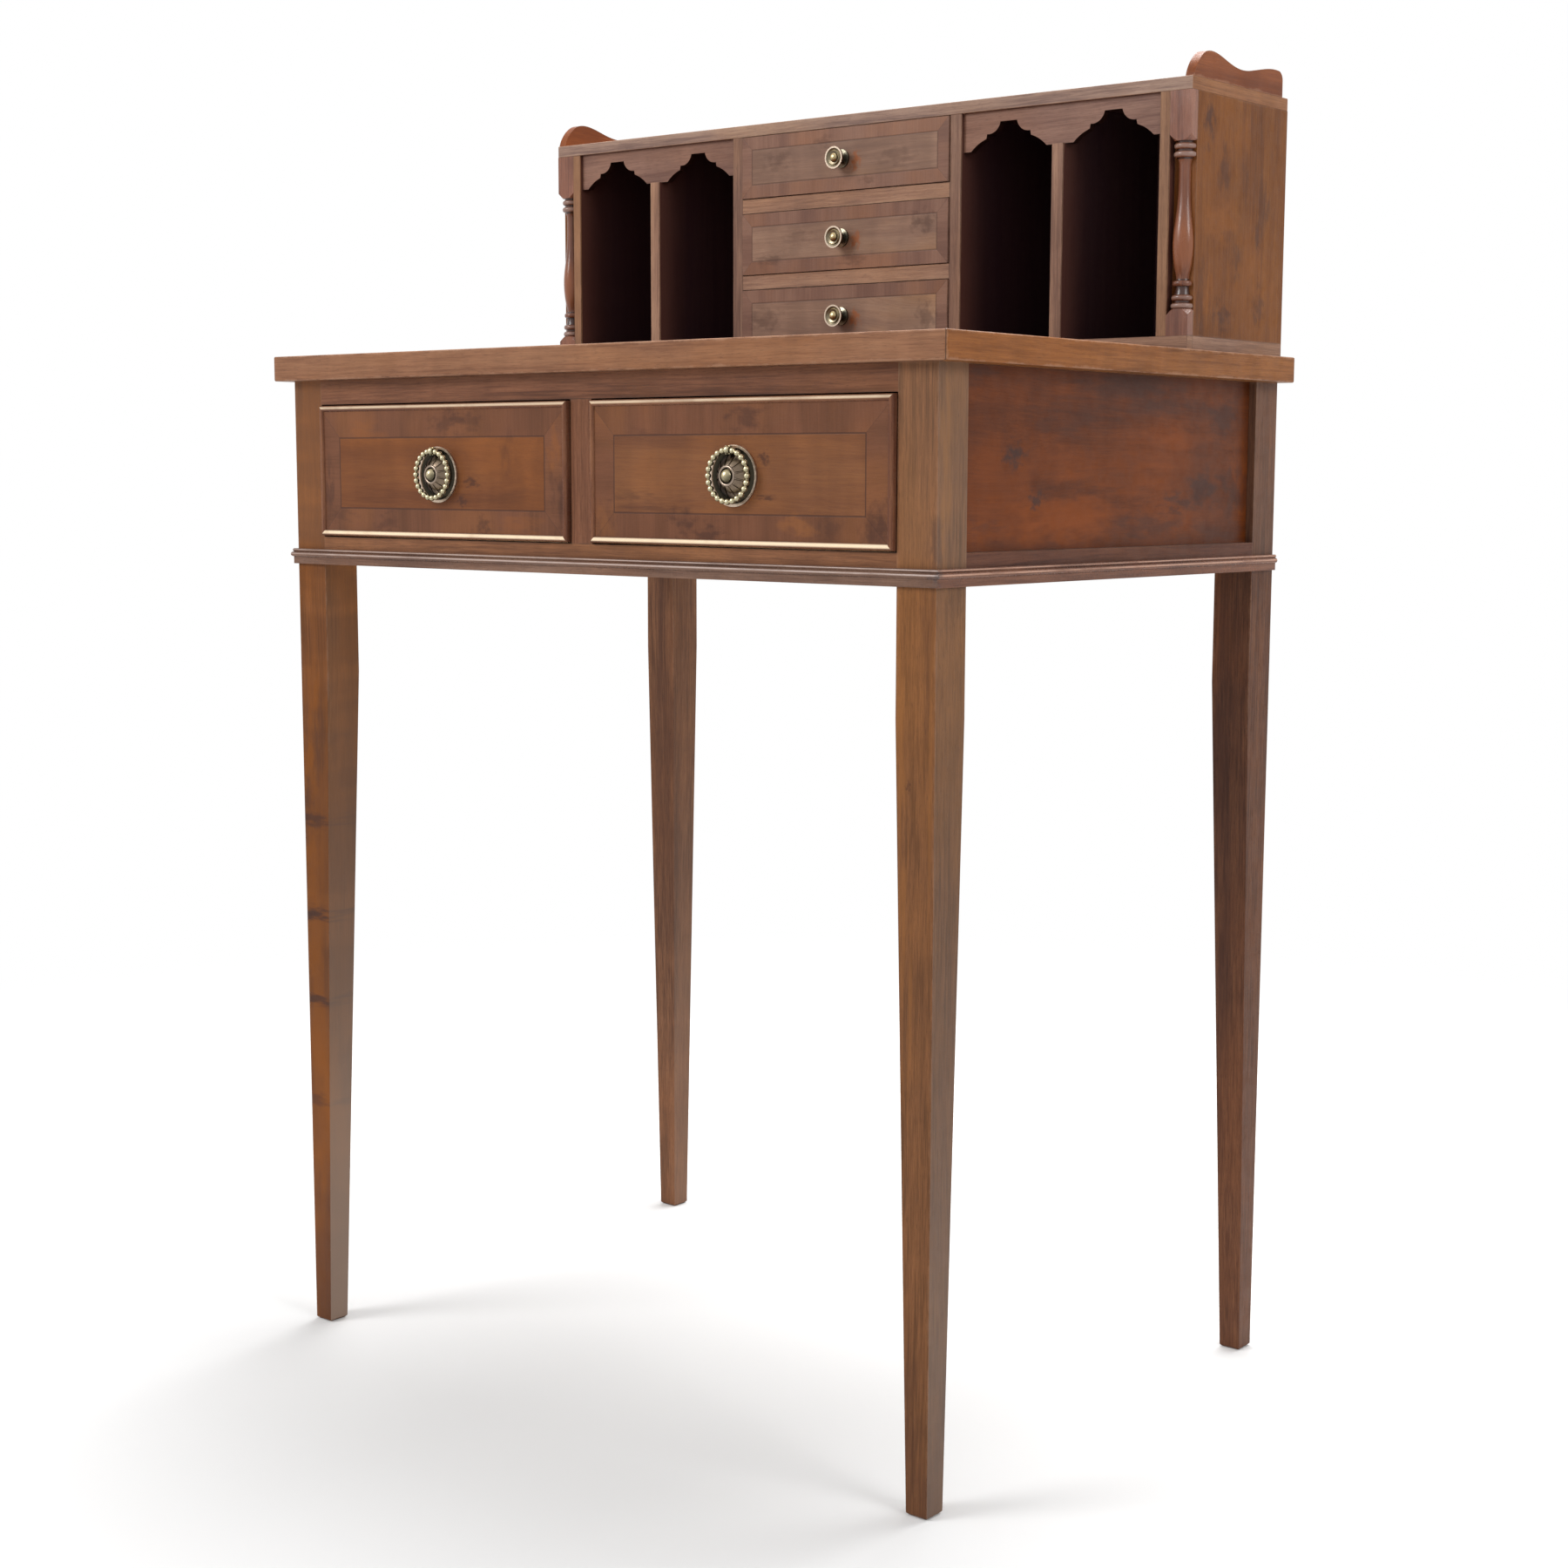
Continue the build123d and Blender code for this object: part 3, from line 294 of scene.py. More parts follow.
# The moulding's crests with painted highlights and the smudge at its mitre, and the spindles' turned
# length, rings, belly and edges of colour (quirks, and crests with painted highlights), in millimetres
moulding_crests = ((611.1, 0.8), (614.1, 0.5))
moulding_marks = (((309, -218, 610), (9, 9, 8), 0.80),)
spindle_foot, spindle_head = 788.5, 903.0
spindle_rings = (809.0, 890.5)
spindle_belly, spindle_belly_strength = (833, 26), 0.6
spindle_quirk_edge, spindle_highlight_edge = (5.6, 6.9), (7.3, 8.3)

# The painted shadow and warm reflection beside each knob
knob_shadow_place = (13, -2)
knob_shadow_reach = (5.5, 20, 7)
knob_shadow_strength = 0.75

# Smoky marks and glows in the figure, and painted shade towards the legs' feet: place and reach in
# millimetres, and strength
drawer_face, small_face, leg_face, side_face, panel_face = -211, 78.3, -209, 307, 298.5
mark_depth, panel_depth = 60, 90


def on_front(face, rows):
    """Marks on a face at the front: place across and up, reach across and up, and strength."""
    return tuple(((x, face, z), (wide, mark_depth, tall), amount) for x, z, wide, tall, amount in rows)


def on_side(face, rows, depth=mark_depth):
    """Marks on a face at the side: place back and up, reach back and up, and strength."""
    return tuple(((face, y, z), (depth, wide, tall), amount) for y, z, wide, tall, amount in rows)


panel_marks = on_side(panel_face, (
    (25, 731, 95, 16, 0.6), (70, 724, 40, 12, 0.5), (146, 716, 34, 15, 0.72),
    (124, 664, 26, 14, 0.85), (88, 654, 24, 8, 0.75), (165, 662, 18, 20, 0.6),
    (45, 638, 56, 13, 0.6), (140, 634, 46, 12, 0.35), (-118, 686, 13, 9, 1.0),
    (-93, 657, 9, 7, 0.85), (-50, 711, 60, 14, 0.45), (-160, 737, 30, 8, 0.4),
    (-150, 640, 22, 5, 0.35), (185, 700, 8, 60, 0.35), (150, 680, 70, 70, 0.32),
), panel_depth)
panel_glows = on_side(panel_face, (
    (-60, 645, 75, 24, 0.45), (10, 672, 100, 14, 0.28), (100, 700, 55, 10, 0.35),
    (-140, 665, 60, 60, 0.25), (175, 680, 14, 26, 0.35), (110, 680, 90, 90, 0.16),
), panel_depth)
drawer_marks_right = on_front(drawer_face, (
    (150, 709, 17, 10, 0.6), (97, 641, 13, 9, 0.62), (119, 634, 13, 7, 0.62),
    (222, 640, 9, 9, 0.35), (261, 640, 12, 17, 0.62), (167, 683, 5, 5, 0.7),
    (171, 657.5, 9, 2.6, 0.66), (47, 658, 20, 4, 0.36), (62, 650, 26, 3, 0.34),
    (60, 700, 14, 3, 0.25),
))
drawer_glows_right = on_front(drawer_face, (
    (196, 640, 15, 9, 0.5), (76, 672, 34, 16, 0.25), (24, 640, 9, 20, 0.35),
    (140, 652, 50, 5, 0.25),
))
drawer_marks_left = on_front(drawer_face, (
    (-132, 711, 20, 10, 0.5), (-110, 711, 18, 9, 0.45), (-199, 637, 14, 8, 0.4),
    (-96, 634, 9, 8, 0.55), (-17, 655, 10, 30, 0.6), (-107, 666, 8, 4, 0.7),
    (-118, 652.5, 5, 4, 0.66), (-264, 655, 7, 22, 0.5), (-70, 685, 7, 17, 0.32),
    (-250, 640, 16, 6, 0.3),
))
drawer_glows_left = on_front(drawer_face, (
    (-222, 700, 22, 10, 0.3), (-90, 684, 30, 14, 0.3), (-23, 690, 9, 16, 0.45),
    (-60, 636, 24, 8, 0.35),
))
leg_marks_and_foot_shade_left = (
    *on_front(leg_face, (
        (-300, 330, 30, 6, 0.92), (-298, 262, 30, 5, 0.8), (-300, 405, 30, 6, 0.7),
        (-298, 180, 24, 6, 0.5), (-302, 420, 10, 20, 0.45), (-283, 470, 8, 40, 0.35),
    )),
    # Painted shade, darker towards the foot
    ((-290, -190, 30), (60, 60, 190), 0.5),
)
leg_glows_left = on_front(leg_face, (
    (-295, 170, 30, 290, 0.8), (-299, 445, 12, 26, 0.95), (-298, 378, 10, 20, 0.95),
    (-299, 350, 10, 14, 0.9), (-297, 296, 10, 22, 0.95), (-294, 222, 12, 30, 0.8),
    (-290, 500, 10, 25, 0.5), (-292, 120, 12, 50, 0.45),
))
leg_marks_and_foot_shade_right = (
    ((304.5, -209, 632), (6, 6, 22), 0.55),
    # Painted shade, darker towards the foot
    ((289, -190, 30), (60, 60, 190), 0.5),
    *on_front(leg_face, (
        (284, 478, 2, 4, 0.6), (298, 560, 6, 60, 0.3),
    )),
)
leg_glows_right = (
    ((304.5, -200, 680), (6, 7, 60), 0.75),
    *on_front(leg_face, (
        (278, 500, 5, 70, 0.5), (281, 395, 4, 60, 0.55), (301, 470, 1.5, 90, 0.45),
        (287, 330, 3, 60, 0.45),
    )),
)
rear_marks = (((285, 184, 300), (19, 12, 420), 0.55),)
small_marks = on_front(small_face, (
    (-63, 915, 14, 9, 0.38), (53, 910, 16, 8, 0.3), (78, 861, 12, 9, 0.52),
    (-70, 841, 16, 5, 0.42), (-76, 794, 16, 9, 0.42), (81, 791, 10, 12, 0.42),
    (-18, 927, 10, 5, 0.35), (10, 836, 14, 5, 0.35), (-42, 858, 14, 6, 0.28),
    (25, 895, 9, 4, 0.32),
))
side_marks = on_side(side_face, (
    (103, 917, 8, 16, 0.72), (125, 886, 9, 18, 0.55), (184, 866, 8, 24, 0.45),
    (175, 843, 6, 10, 0.52), (127, 786, 13, 10, 0.62), (178, 795, 9, 14, 0.5),
    (146, 824, 7, 14, 0.45), (155, 880, 5, 20, 0.3), (95, 795, 6, 30, 0.4),
))
side_glows = on_side(side_face, (
    (122, 851, 28, 14, 0.45), (105, 800, 9, 16, 0.4), (150, 915, 12, 20, 0.3),
    (165, 830, 12, 30, 0.3),
))


# Small helpers for building node trees

def add(tree, kind, inputs=None, **settings):
    """A shader node; each input is a value, or a socket that is linked to it."""
    made = tree.nodes.new("ShaderNode" + kind)
    for name, value in settings.items():
        setattr(made, name, value)
    for name, value in (inputs or {}).items():
        if isinstance(value, bpy.types.NodeSocket):
            tree.links.new(value, made.inputs[name])
        else:
            made.inputs[name].default_value = value
    return made


def calc(tree, operation, *values):
    return add(tree, "Math", dict(enumerate(values)), operation=operation).outputs[0]


def times(tree, first, second):
    return calc(tree, "MULTIPLY", first, second)


def calc_vector(tree, operation, *values):
    return add(tree, "VectorMath", dict(enumerate(values)), operation=operation).outputs[0]


def calc_vector_value(tree, operation, *values):
    return add(tree, "VectorMath", dict(enumerate(values)), operation=operation).outputs["Value"]


def split(tree, place):
    """The three coordinates of a place."""
    return add(tree, "SeparateXYZ", {0: place}).outputs


def from_sides(tree, place, low, high):
    """How far a place is from the nearer side of a box, in each direction."""
    from_low = calc_vector(tree, "SUBTRACT", place, low)
    from_high = calc_vector(tree, "SUBTRACT", high, place)
    return split(tree, calc_vector(tree, "MINIMUM", from_low, from_high))


def stretch(tree, place, scales):
    return calc_vector(tree, "MULTIPLY", place, scales)


def noise(tree, place, scale=1.0, detail=4.0, roughness=0.55):
    inputs = {"Vector": place, "Scale": scale, "Detail": detail, "Roughness": roughness}
    return add(tree, "TexNoise", inputs).outputs[0]


def ease(tree, value, low, high, to_low=0.0, to_high=1.0):
    """The value taken smoothly from one range to another."""
    inputs = {"Value": value, "From Min": low, "From Max": high, "To Min": to_low, "To Max": to_high}
    return add(tree, "MapRange", inputs, interpolation_type="SMOOTHSTEP").outputs[0]


def blend(tree, amount, first, second, kind="MIX"):
    made = add(tree, "Mix", {0: amount, 6: first, 7: second}, data_type="RGBA", blend_type=kind)
    return made.outputs[2]


def start_group(name, inputs, outputs):
    """A node group; gives its tree, its inputs to read and its outputs to fill."""
    tree = bpy.data.node_groups.new(name, "ShaderNodeTree")
    for label, kind, value in inputs:
        socket = tree.interface.new_socket(label, in_out="INPUT", socket_type="NodeSocket" + kind)
        socket.default_value = value
    for label, kind in outputs:
        tree.interface.new_socket(label, in_out="OUTPUT", socket_type="NodeSocket" + kind)
    return tree, tree.nodes.new("NodeGroupInput").outputs, tree.nodes.new("NodeGroupOutput").inputs


def use_group(tree, group, inputs):
    return add(tree, "Group", inputs, node_tree=group).outputs


place_inputs = [("Place", "Vector", (0, 0, 0))]
box_inputs = place_inputs + [("Low", "Vector", (0, 0, 0)), ("High", "Vector", (0, 0, 0))]


# Shared wood effects

def figure(tree, place, kind, amount):
    """Where one part of the figure shows, up to an amount."""
    scales, detail, roughness, span = kind
    found = noise(tree, stretch(tree, place, scales), 1.0, detail, roughness)
    return times(tree, ease(tree, found, *span), amount)


def make_grain():
    """Wood cut along X: growth streaks, fibres, pores, cross figure and a varnish's sheen."""
    inputs = place_inputs + [(name, "Color", white) for name in tone_names]
    inputs += [(name, "Float", 0.0) for name in look_names]
    tree, given, out = start_group(
        "wood_grain", inputs, [("Color", "Color"), ("Roughness", "Float"), ("Height", "Float")])
    place = given["Place"]
    drift = {"Vector": stretch(tree, place, drift_stretch), "Scale": 1.0, "Detail": drift_detail}
    drift = calc_vector(tree, "SUBTRACT", add(tree, "TexNoise", drift).outputs[1], noise_middle)
    drift = add(tree, "VectorMath", {0: drift, "Scale": given["Swirl"]}, operation="SCALE").outputs[0]
    bent = calc_vector(tree, "ADD", place, drift)
    broad = noise(tree, stretch(tree, bent, streak_stretch), given["Streaks"], *streak_noise)
    fibre = noise(tree, stretch(tree, bent, fibre_stretch), *fibre_noise)
    tone = add(tree, "Mix", {0: given["Fibre"], 2: broad, 3: fibre}).outputs[0]
    colour = blend(tree, ease(tree, tone, *light_span), given["Middle"], given["Light"])
    darker = times(tree, ease(tree, tone, *dark_span), ease(tree, given["Fibre"], *dark_by_fibre))
    colour = blend(tree, darker, colour, given["Dark"])
    colour = blend(tree, figure(tree, bent, glow_figure, given["Glow"]), colour, given["Warm"])
    curl = figure(tree, bent, curl_figure, given["Curl"])
    colour = blend(tree, curl, colour, given["Dark"], "MULTIPLY")
    colour = blend(tree, times(tree, curl, curl_lift), colour, given["Middle"])
    blotches = figure(tree, bent, blotch_figure, given["Blotches"])
    hairs = figure(tree, bent, hair_figure, times(tree, given["Fibre"], hair_share))
    pores = figure(tree, bent, pore_figure, given["Pores"])
    for darkened in (blotches, hairs, pores):
        colour = blend(tree, darkened, colour, given["Dark"])
    tree.links.new(colour, out["Color"])
    rough = ease(tree, noise(tree, place, *mottle_noise), *mottle_span)
    rough = calc(tree, "ADD", given["Sheen"], rough)
    rough = calc(tree, "ADD", rough, times(tree, pores, pore_roughness))
    tree.links.new(rough, out["Roughness"])
    deep = times(tree, pores, pore_depth)
    tree.links.new(calc(tree, "SUBTRACT", times(tree, fibre, fibre_height), deep), out["Height"])
    return tree


def make_edge_wear():
    """A mask along the edges of a board, from the board's own box."""
    inputs = box_inputs + [("Width", "Float", wear_width), ("Amount", "Float", 1.0)]
    tree, given, out = start_group("edge_wear", inputs, [("Mask", "Float")])
    nearest = from_sides(tree, given["Place"], given["Low"], given["High"])
    first = calc(tree, "MINIMUM", nearest[0], nearest[1])
    second = calc(tree, "MAXIMUM", nearest[0], nearest[1])
    edge = calc(tree, "MAXIMUM", first, calc(tree, "MINIMUM", second, nearest[2]))
    wobble = noise(tree, given["Place"], *wear_noise)
    reach = times(tree, given["Width"], ease(tree, wobble, *wear_span))
    mask = calc(tree, "SUBTRACT", 1.0, calc(tree, "DIVIDE", edge, reach))
    mask = calc(tree, "MAXIMUM", mask, 0.0)
    tree.links.new(times(tree, mask, given["Amount"]), out["Mask"])
    return tree


def make_smudge():
    """A mark in the figure with a ragged edge, such as the smoke round a knot."""
    inputs = place_inputs + [("Centre", "Vector", (0, 0, 0)), ("Reach", "Vector", (1, 1, 1))]
    tree, given, out = start_group("smudge", inputs + [("Strength", "Float", 1.0)], [("Mask", "Float")])
    apart = calc_vector(tree, "SUBTRACT", given["Place"], given["Centre"])
    far = calc_vector_value(tree, "LENGTH", calc_vector(tree, "DIVIDE", apart, given["Reach"]))
    rag = noise(tree, calc_vector(tree, "DIVIDE", given["Place"], given["Reach"]), *smudge_noise)
    far = calc(tree, "ADD", far, ease(tree, rag, *smudge_rag))
    tree.links.new(times(tree, ease(tree, far, *smudge_fade), given["Strength"]), out["Mask"])
    return tree


def make_inside():
    """How deep a point is in the cabinet's compartments, whose faces get painted shade."""
    tree, given, out = start_group("cabinet_inside", box_inputs, [("Mask", "Float"), ("Depth", "Float")])
    from_low = calc_vector(tree, "SUBTRACT", given["Place"], given["Low"])
    within = from_sides(tree, given["Place"], given["Low"], given["High"])
    within = calc(tree, "MINIMUM", calc(tree, "MINIMUM", within[0], within[1]), within[2])
    mask = times(tree, calc(tree, "GREATER_THAN", within, 0.0), inside_strength)
    tree.links.new(mask, out["Mask"])
    tree.links.new(ease(tree, split(tree, from_low)[1], 0.0, inside_reach), out["Depth"])
    return tree


def make_inlay():
    """A crossbanded board: where its band is, which way it runs, and its dark lines."""
    tree, given, out = start_group(
        "inlay", box_inputs, [("Band", "Float"), ("Upright Run", "Float"), ("Lines", "Float")])
    below = calc_vector(tree, "SUBTRACT", given["Low"], given["Place"])
    above = calc_vector(tree, "SUBTRACT", given["Place"], given["High"])
    out_by = split(tree, calc_vector(tree, "MAXIMUM", below, above))
    outside = calc(tree, "MAXIMUM", out_by[0], out_by[2])
    band = calc(tree, "GREATER_THAN", outside, 0.0)
    tree.links.new(band, out["Band"])
    tree.links.new(calc(tree, "GREATER_THAN", out_by[0], out_by[2]), out["Upright Run"])
    line = calc(tree, "DIVIDE", calc(tree, "ABSOLUTE", outside), line_width / 2)
    line = ease(tree, line, *line_softness)
    apart = calc(tree, "ABSOLUTE", calc(tree, "SUBTRACT", out_by[0], out_by[2]))
    mitre = ease(tree, calc(tree, "DIVIDE", apart, mitre_width), *mitre_softness)
    tree.links.new(calc(tree, "MAXIMUM", line, times(tree, mitre, band)), out["Lines"])
    return tree


def make_patina():
    """Brass dirty in spots and rubbed bright by how proud it stands, one value for each material."""
    inputs = place_inputs + [("Proud", "Float", plate_proud)]
    inputs += [(name, "Color", shade) for name, shade in patina_shades.items()]
    tree, given, out = start_group(
        "brass_patina", inputs, [("Color", "Color"), ("Roughness", "Float"), ("Height", "Float")])
    spots = noise(tree, given["Place"], *spot_noise)
    cast = noise(tree, given["Place"], *cast_noise)
    worn = calc(tree, "ADD", given["Proud"], ease(tree, spots, *spot_span))
    colour = blend(tree, ease(tree, worn, *dirty_span), given["Dark"], given["Middle"])
    colour = blend(tree, ease(tree, worn, *bright_span), colour, given["Bright"])
    tree.links.new(colour, out["Color"])
    rough = calc(tree, "ADD", brass_sheen, ease(tree, worn, *brass_dulling))
    tree.links.new(rough, out["Roughness"])
    tree.links.new(calc(tree, "ADD", times(tree, spots, spot_height), cast), out["Height"])
    return tree


grain_group = make_grain()
wear_group = make_edge_wear()
smudge_group = make_smudge()
inside_group = make_inside()
inlay_group = make_inlay()
patina_group = make_patina()

# The order of the coordinates that lays each grain direction along X
grain_orders = {"X": (0, 1, 2), "Y": (1, 2, 0), "Z": (2, 0, 1)}
board_step = (0.731, 1.373, 2.117)


def in_metres(values):
    return tuple(value * MM for value in values)


def object_place(tree):
    return add(tree, "TexCoord").outputs["Object"]


def grain_place(tree, direction, board):
    """Object coordinates with the grain along X, moved so that each board has its own figure."""
    parts = split(tree, object_place(tree))
    order = grain_orders[direction]
    turned = add(tree, "CombineXYZ", {k: parts[axis] for k, axis in enumerate(order)}).outputs[0]
    return calc_vector(tree, "ADD", turned, tuple(step * board for step in board_step))


def use_grain(tree, place, tones, look):
    inputs = {"Place": place}
    for name, tone in zip(tone_names, tones):
        inputs[name] = (*tone, 1)
    inputs.update(zip(look_names, look))
    return use_group(tree, grain_group, inputs)


def new_material(name):
    material = bpy.data.materials.new(name)
    material.use_nodes = True
    material.node_tree.nodes.clear()
    return material, material.node_tree


def start_surface(node, kind):
    """A new material in place of a piece's old ones; gives its node tree."""
    material, tree = new_material(node + kind)
    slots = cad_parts[node].data.materials
    slots.clear()
    slots.append(material)
    return tree


def finish_surface(tree, colour, roughness, height,
                   bump=wood_bump, coat=wood_coat, gloss=wood_gloss, metallic=0.0):
    """The shader that every surface ends in."""
    relief = add(tree, "Bump", {"Height": height, "Distance": bump, "Strength": 1.0})
    shader = add(tree, "BsdfPrincipled", {
        "Base Color": colour, "Roughness": roughness, "Normal": relief.outputs[0],
        "Metallic": metallic, "Coat Weight": coat, "Coat Roughness": coat_roughness,
        "Specular IOR Level": gloss,
    })
    add(tree, "OutputMaterial", {"Surface": shader.outputs[0]})


def box_mask(tree, group, low, high, **inputs):
    inputs = {"Place": object_place(tree), "Low": low, "High": high, **inputs}
    return use_group(tree, group, inputs)[0]


def add_marks(tree, colour, marks, mark_colour, side=1):
    """Smoky or glowing marks, and patches of painted shadow and shade, laid over a colour."""
    for centre, reach, strength in marks:
        centre = (centre[0] * side, centre[1], centre[2])
        inputs = {"Place": object_place(tree), "Centre": in_metres(centre), "Reach": in_metres(reach)}
        inputs["Strength"] = strength
        mask = use_group(tree, smudge_group, inputs)[0]
        colour = blend(tree, mask, colour, mark_colour)
    return colour


def add_edges(tree, node, colour, rough, edges):
    """Edges rubbed pale, partly wear and partly painted highlight, and dark joints with the boards beside
    this one.
    """
    low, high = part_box(node)
    worn, jointed = edges
    if jointed:
        mask = box_mask(tree, wear_group, low, high, Width=joint_width, Amount=jointed)
        colour = blend(tree, mask, colour, joint_and_shade_colour)
    mask = box_mask(tree, wear_group, low, high, Width=wear_width, Amount=worn)
    colour = blend(tree, mask, colour, wear_and_highlight_colour)
    return colour, calc(tree, "ADD", rough, times(tree, mask, wear_roughness))


def facing(tree, axis):
    """How squarely a surface faces along an axis, either way."""
    normal = split(tree, add(tree, "TexCoord").outputs["Normal"])
    return ease(tree, calc(tree, "ABSOLUTE", normal["XYZ".index(axis)]), *facing_span)


def near_value(tree, value, middle, reach):
    """One at the middle, falling to nothing at the reach."""
    apart = calc(tree, "ABSOLUTE", calc(tree, "SUBTRACT", value, middle))
    return ease(tree, calc(tree, "DIVIDE", apart, reach), *near_span)


def from_axis(tree, place, first, second, middles):
    """Distance from an axis that runs square to the two named directions."""
    parts = split(tree, place)
    flat = [calc(tree, "SUBTRACT", parts["XYZ".index(a)], m) for a, m in zip((first, second), middles)]
    square = calc(tree, "ADD", calc(tree, "POWER", flat[0], 2.0), calc(tree, "POWER", flat[1], 2.0))
    return calc(tree, "SQRT", square), flat


def add_inside(tree, colour):
    """Paints shade on the faces inside the cabinet's compartments, darker deeper in."""
    low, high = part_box("gallery_back")
    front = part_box("gallery_lining_left")[0][1] + inside_start
    rear = (low[1] + high[1]) / 2
    low = (low[0] - mitre_width, front, low[2] - mitre_width)
    high = (high[0] + mitre_width, rear, high[2] + mitre_width)
    inside = use_group(tree, inside_group, {"Place": object_place(tree), "Low": low, "High": high})
    inside_shade = blend(tree, inside["Depth"], inside_shade_near, inside_shade_deep)
    return blend(tree, inside["Mask"], colour, inside_shade)


def mitre_lines(tree, colour):
    """The dark mitres at the front corners of the desk top."""
    low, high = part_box("top_lipping_front")
    parts = split(tree, object_place(tree))
    inwards = calc(tree, "SUBTRACT", high[0], calc(tree, "ABSOLUTE", parts[0]))
    backwards = calc(tree, "SUBTRACT", parts[1], low[1])
    line = near_value(tree, calc(tree, "SUBTRACT", inwards, backwards), 0.0, top_mitre_width)
    return blend(tree, times(tree, line, top_mitre_strength), colour, joint_and_shade_colour)


def leg_bloom(tree, colour, strength):
    """The dry, greyish varnish on the sides of the legs, and painted shade on their stretch half way down.
    """
    up = split(tree, object_place(tree))[2]
    amount = times(tree, facing(tree, "X"), ease(tree, up, *bloom_range))
    amount = times(tree, amount, strength)
    colour = blend(tree, amount, colour, bloom_colour)
    # Painted shade half way down the legs
    shade = times(tree, near_value(tree, up, *leg_shade_place), leg_shade * strength)
    colour = blend(tree, shade, colour, joint_and_shade_colour)
    return blend(tree, ease(tree, up, *leg_dust_range), colour, bloom_colour)


def board_material(node, direction, tones, look, edges, board, marks=(), glows=(), side=1):
    """A board or rail of one figure, varnished."""
    tree = start_surface(node, "_wood")
    place = grain_place(tree, direction, board)
    if node in lipped_ends:
        lipped = grain_place(tree, "Y", board + lipped_shift)
        place = add(tree, "Mix", {0: facing(tree, "X"), 4: place, 5: lipped}, data_type="VECTOR").outputs[1]
    grain = use_grain(tree, place, tones, look)
    colour = add_marks(tree, grain["Color"], glows, (*tones[3], 1), side)
    colour = add_marks(tree, colour, marks, smudge_and_shade_colour, side)
    colour, rough = add_edges(tree, node, colour, grain["Roughness"], edges)
    if node.startswith("apron"):
        # Painted shade: the apron's faces that don't face front or back are near black
        colour = blend(tree, facing(tree, "Y"), underside_shade_colour, colour)
    if node.startswith("leg"):
        colour = leg_bloom(tree, colour, leg_blooms[node])
        # Painted light and shade on the leg's sides
        colour = blend(tree, facing(tree, "X"), colour, (*leg_side_light[node], 1), "MULTIPLY")
    if node.startswith("top_lipping"):
        colour = mitre_lines(tree, colour)
    if node == "gallery_top":
        colour = blend(tree, facing(tree, "X"), colour, end_tint, "MULTIPLY")
        # Painted sheen on the faces of the top that look front and back
        colour = blend(tree, facing(tree, "Y"), colour, top_edge_sheen_tint, "MULTIPLY")
    if node in inside_boards:
        colour = add_inside(tree, colour)
    finish_surface(tree, colour, rough, grain["Height"], coat=0.0 if tones is bare_tones else wood_coat)


def banded_material(node, line_low, line_high, board, tones, edging, marks, glows,
                    look=field_look, line=line_strength, knob_shadows=()):
    """A drawer front: figured field, dark inlaid line and mitred crossband."""
    tree = start_surface(node, "_veneer")
    inlay = use_group(tree, inlay_group, {"Place": object_place(tree), "Low": line_low, "High": line_high})
    field = use_grain(tree, grain_place(tree, "X", board), tones, look)
    along = grain_place(tree, "X", board + band_shifts[0])
    upright = grain_place(tree, "Z", board + band_shifts[1])
    place = add(tree, "Mix", {0: inlay["Upright Run"], 4: upright, 5: along}, data_type="VECTOR").outputs[1]
    band = use_grain(tree, place, edging, band_look)
    colour = blend(tree, inlay["Band"], field["Color"], band["Color"])
    colour = add_marks(tree, colour, glows, (*tones[3], 1))
    colour = add_marks(tree, colour, marks, smudge_and_shade_colour)
    # Painted shadow and warm reflection of the knob on each small drawer front
    colour = add_marks(tree, colour, knob_shadows, knob_shadow_colour)
    colour = blend(tree, times(tree, inlay["Lines"], line), colour, line_colour)
    colour, rough = add_edges(tree, node, colour, field["Roughness"], butted_edges)
    height = calc(tree, "SUBTRACT", field["Height"], times(tree, inlay["Lines"], line_depth))
    finish_surface(tree, colour, rough, height, coat=veneer_coat)


def bead_material(node, board):
    """The bead round a drawer: painted highlights along its top and bottom runs, darker at its sides."""
    tree = start_surface(node, "_wood")
    low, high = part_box(node)
    place = object_place(tree)
    nearest = from_sides(tree, place, low, high)
    upright = calc(tree, "LESS_THAN", nearest[0], nearest[2])
    along = grain_place(tree, "X", board)
    standing = grain_place(tree, "Z", board)
    laid = add(tree, "Mix", {0: upright, 4: along, 5: standing}, data_type="VECTOR").outputs[1]
    grain = use_grain(tree, laid, bead_tones, trim_look)
    parts = split(tree, place)
    low_run = near_value(tree, parts[2], low[2] + bead_low_highlight, bead_low_reach)
    high_run = near_value(tree, parts[2], high[2] - bead_high_highlight, bead_high_reach)
    highlight = calc(tree, "MAXIMUM", low_run, times(tree, high_run, bead_high_share))
    highlight = times(tree, highlight, ease(tree, parts[1], low[1] + bead_highlight_depth, low[1]))
    highlight = figure(tree, place, bead_highlight_break, highlight)
    highlight = times(tree, highlight, calc(tree, "SUBTRACT", 1.0, upright))
    # Painted highlight along the upper part of the low and high runs
    colour = blend(tree, highlight, grain["Color"], bead_highlight_colour)
    finish_surface(tree, colour, grain["Roughness"], grain["Height"], coat=bead_coat)


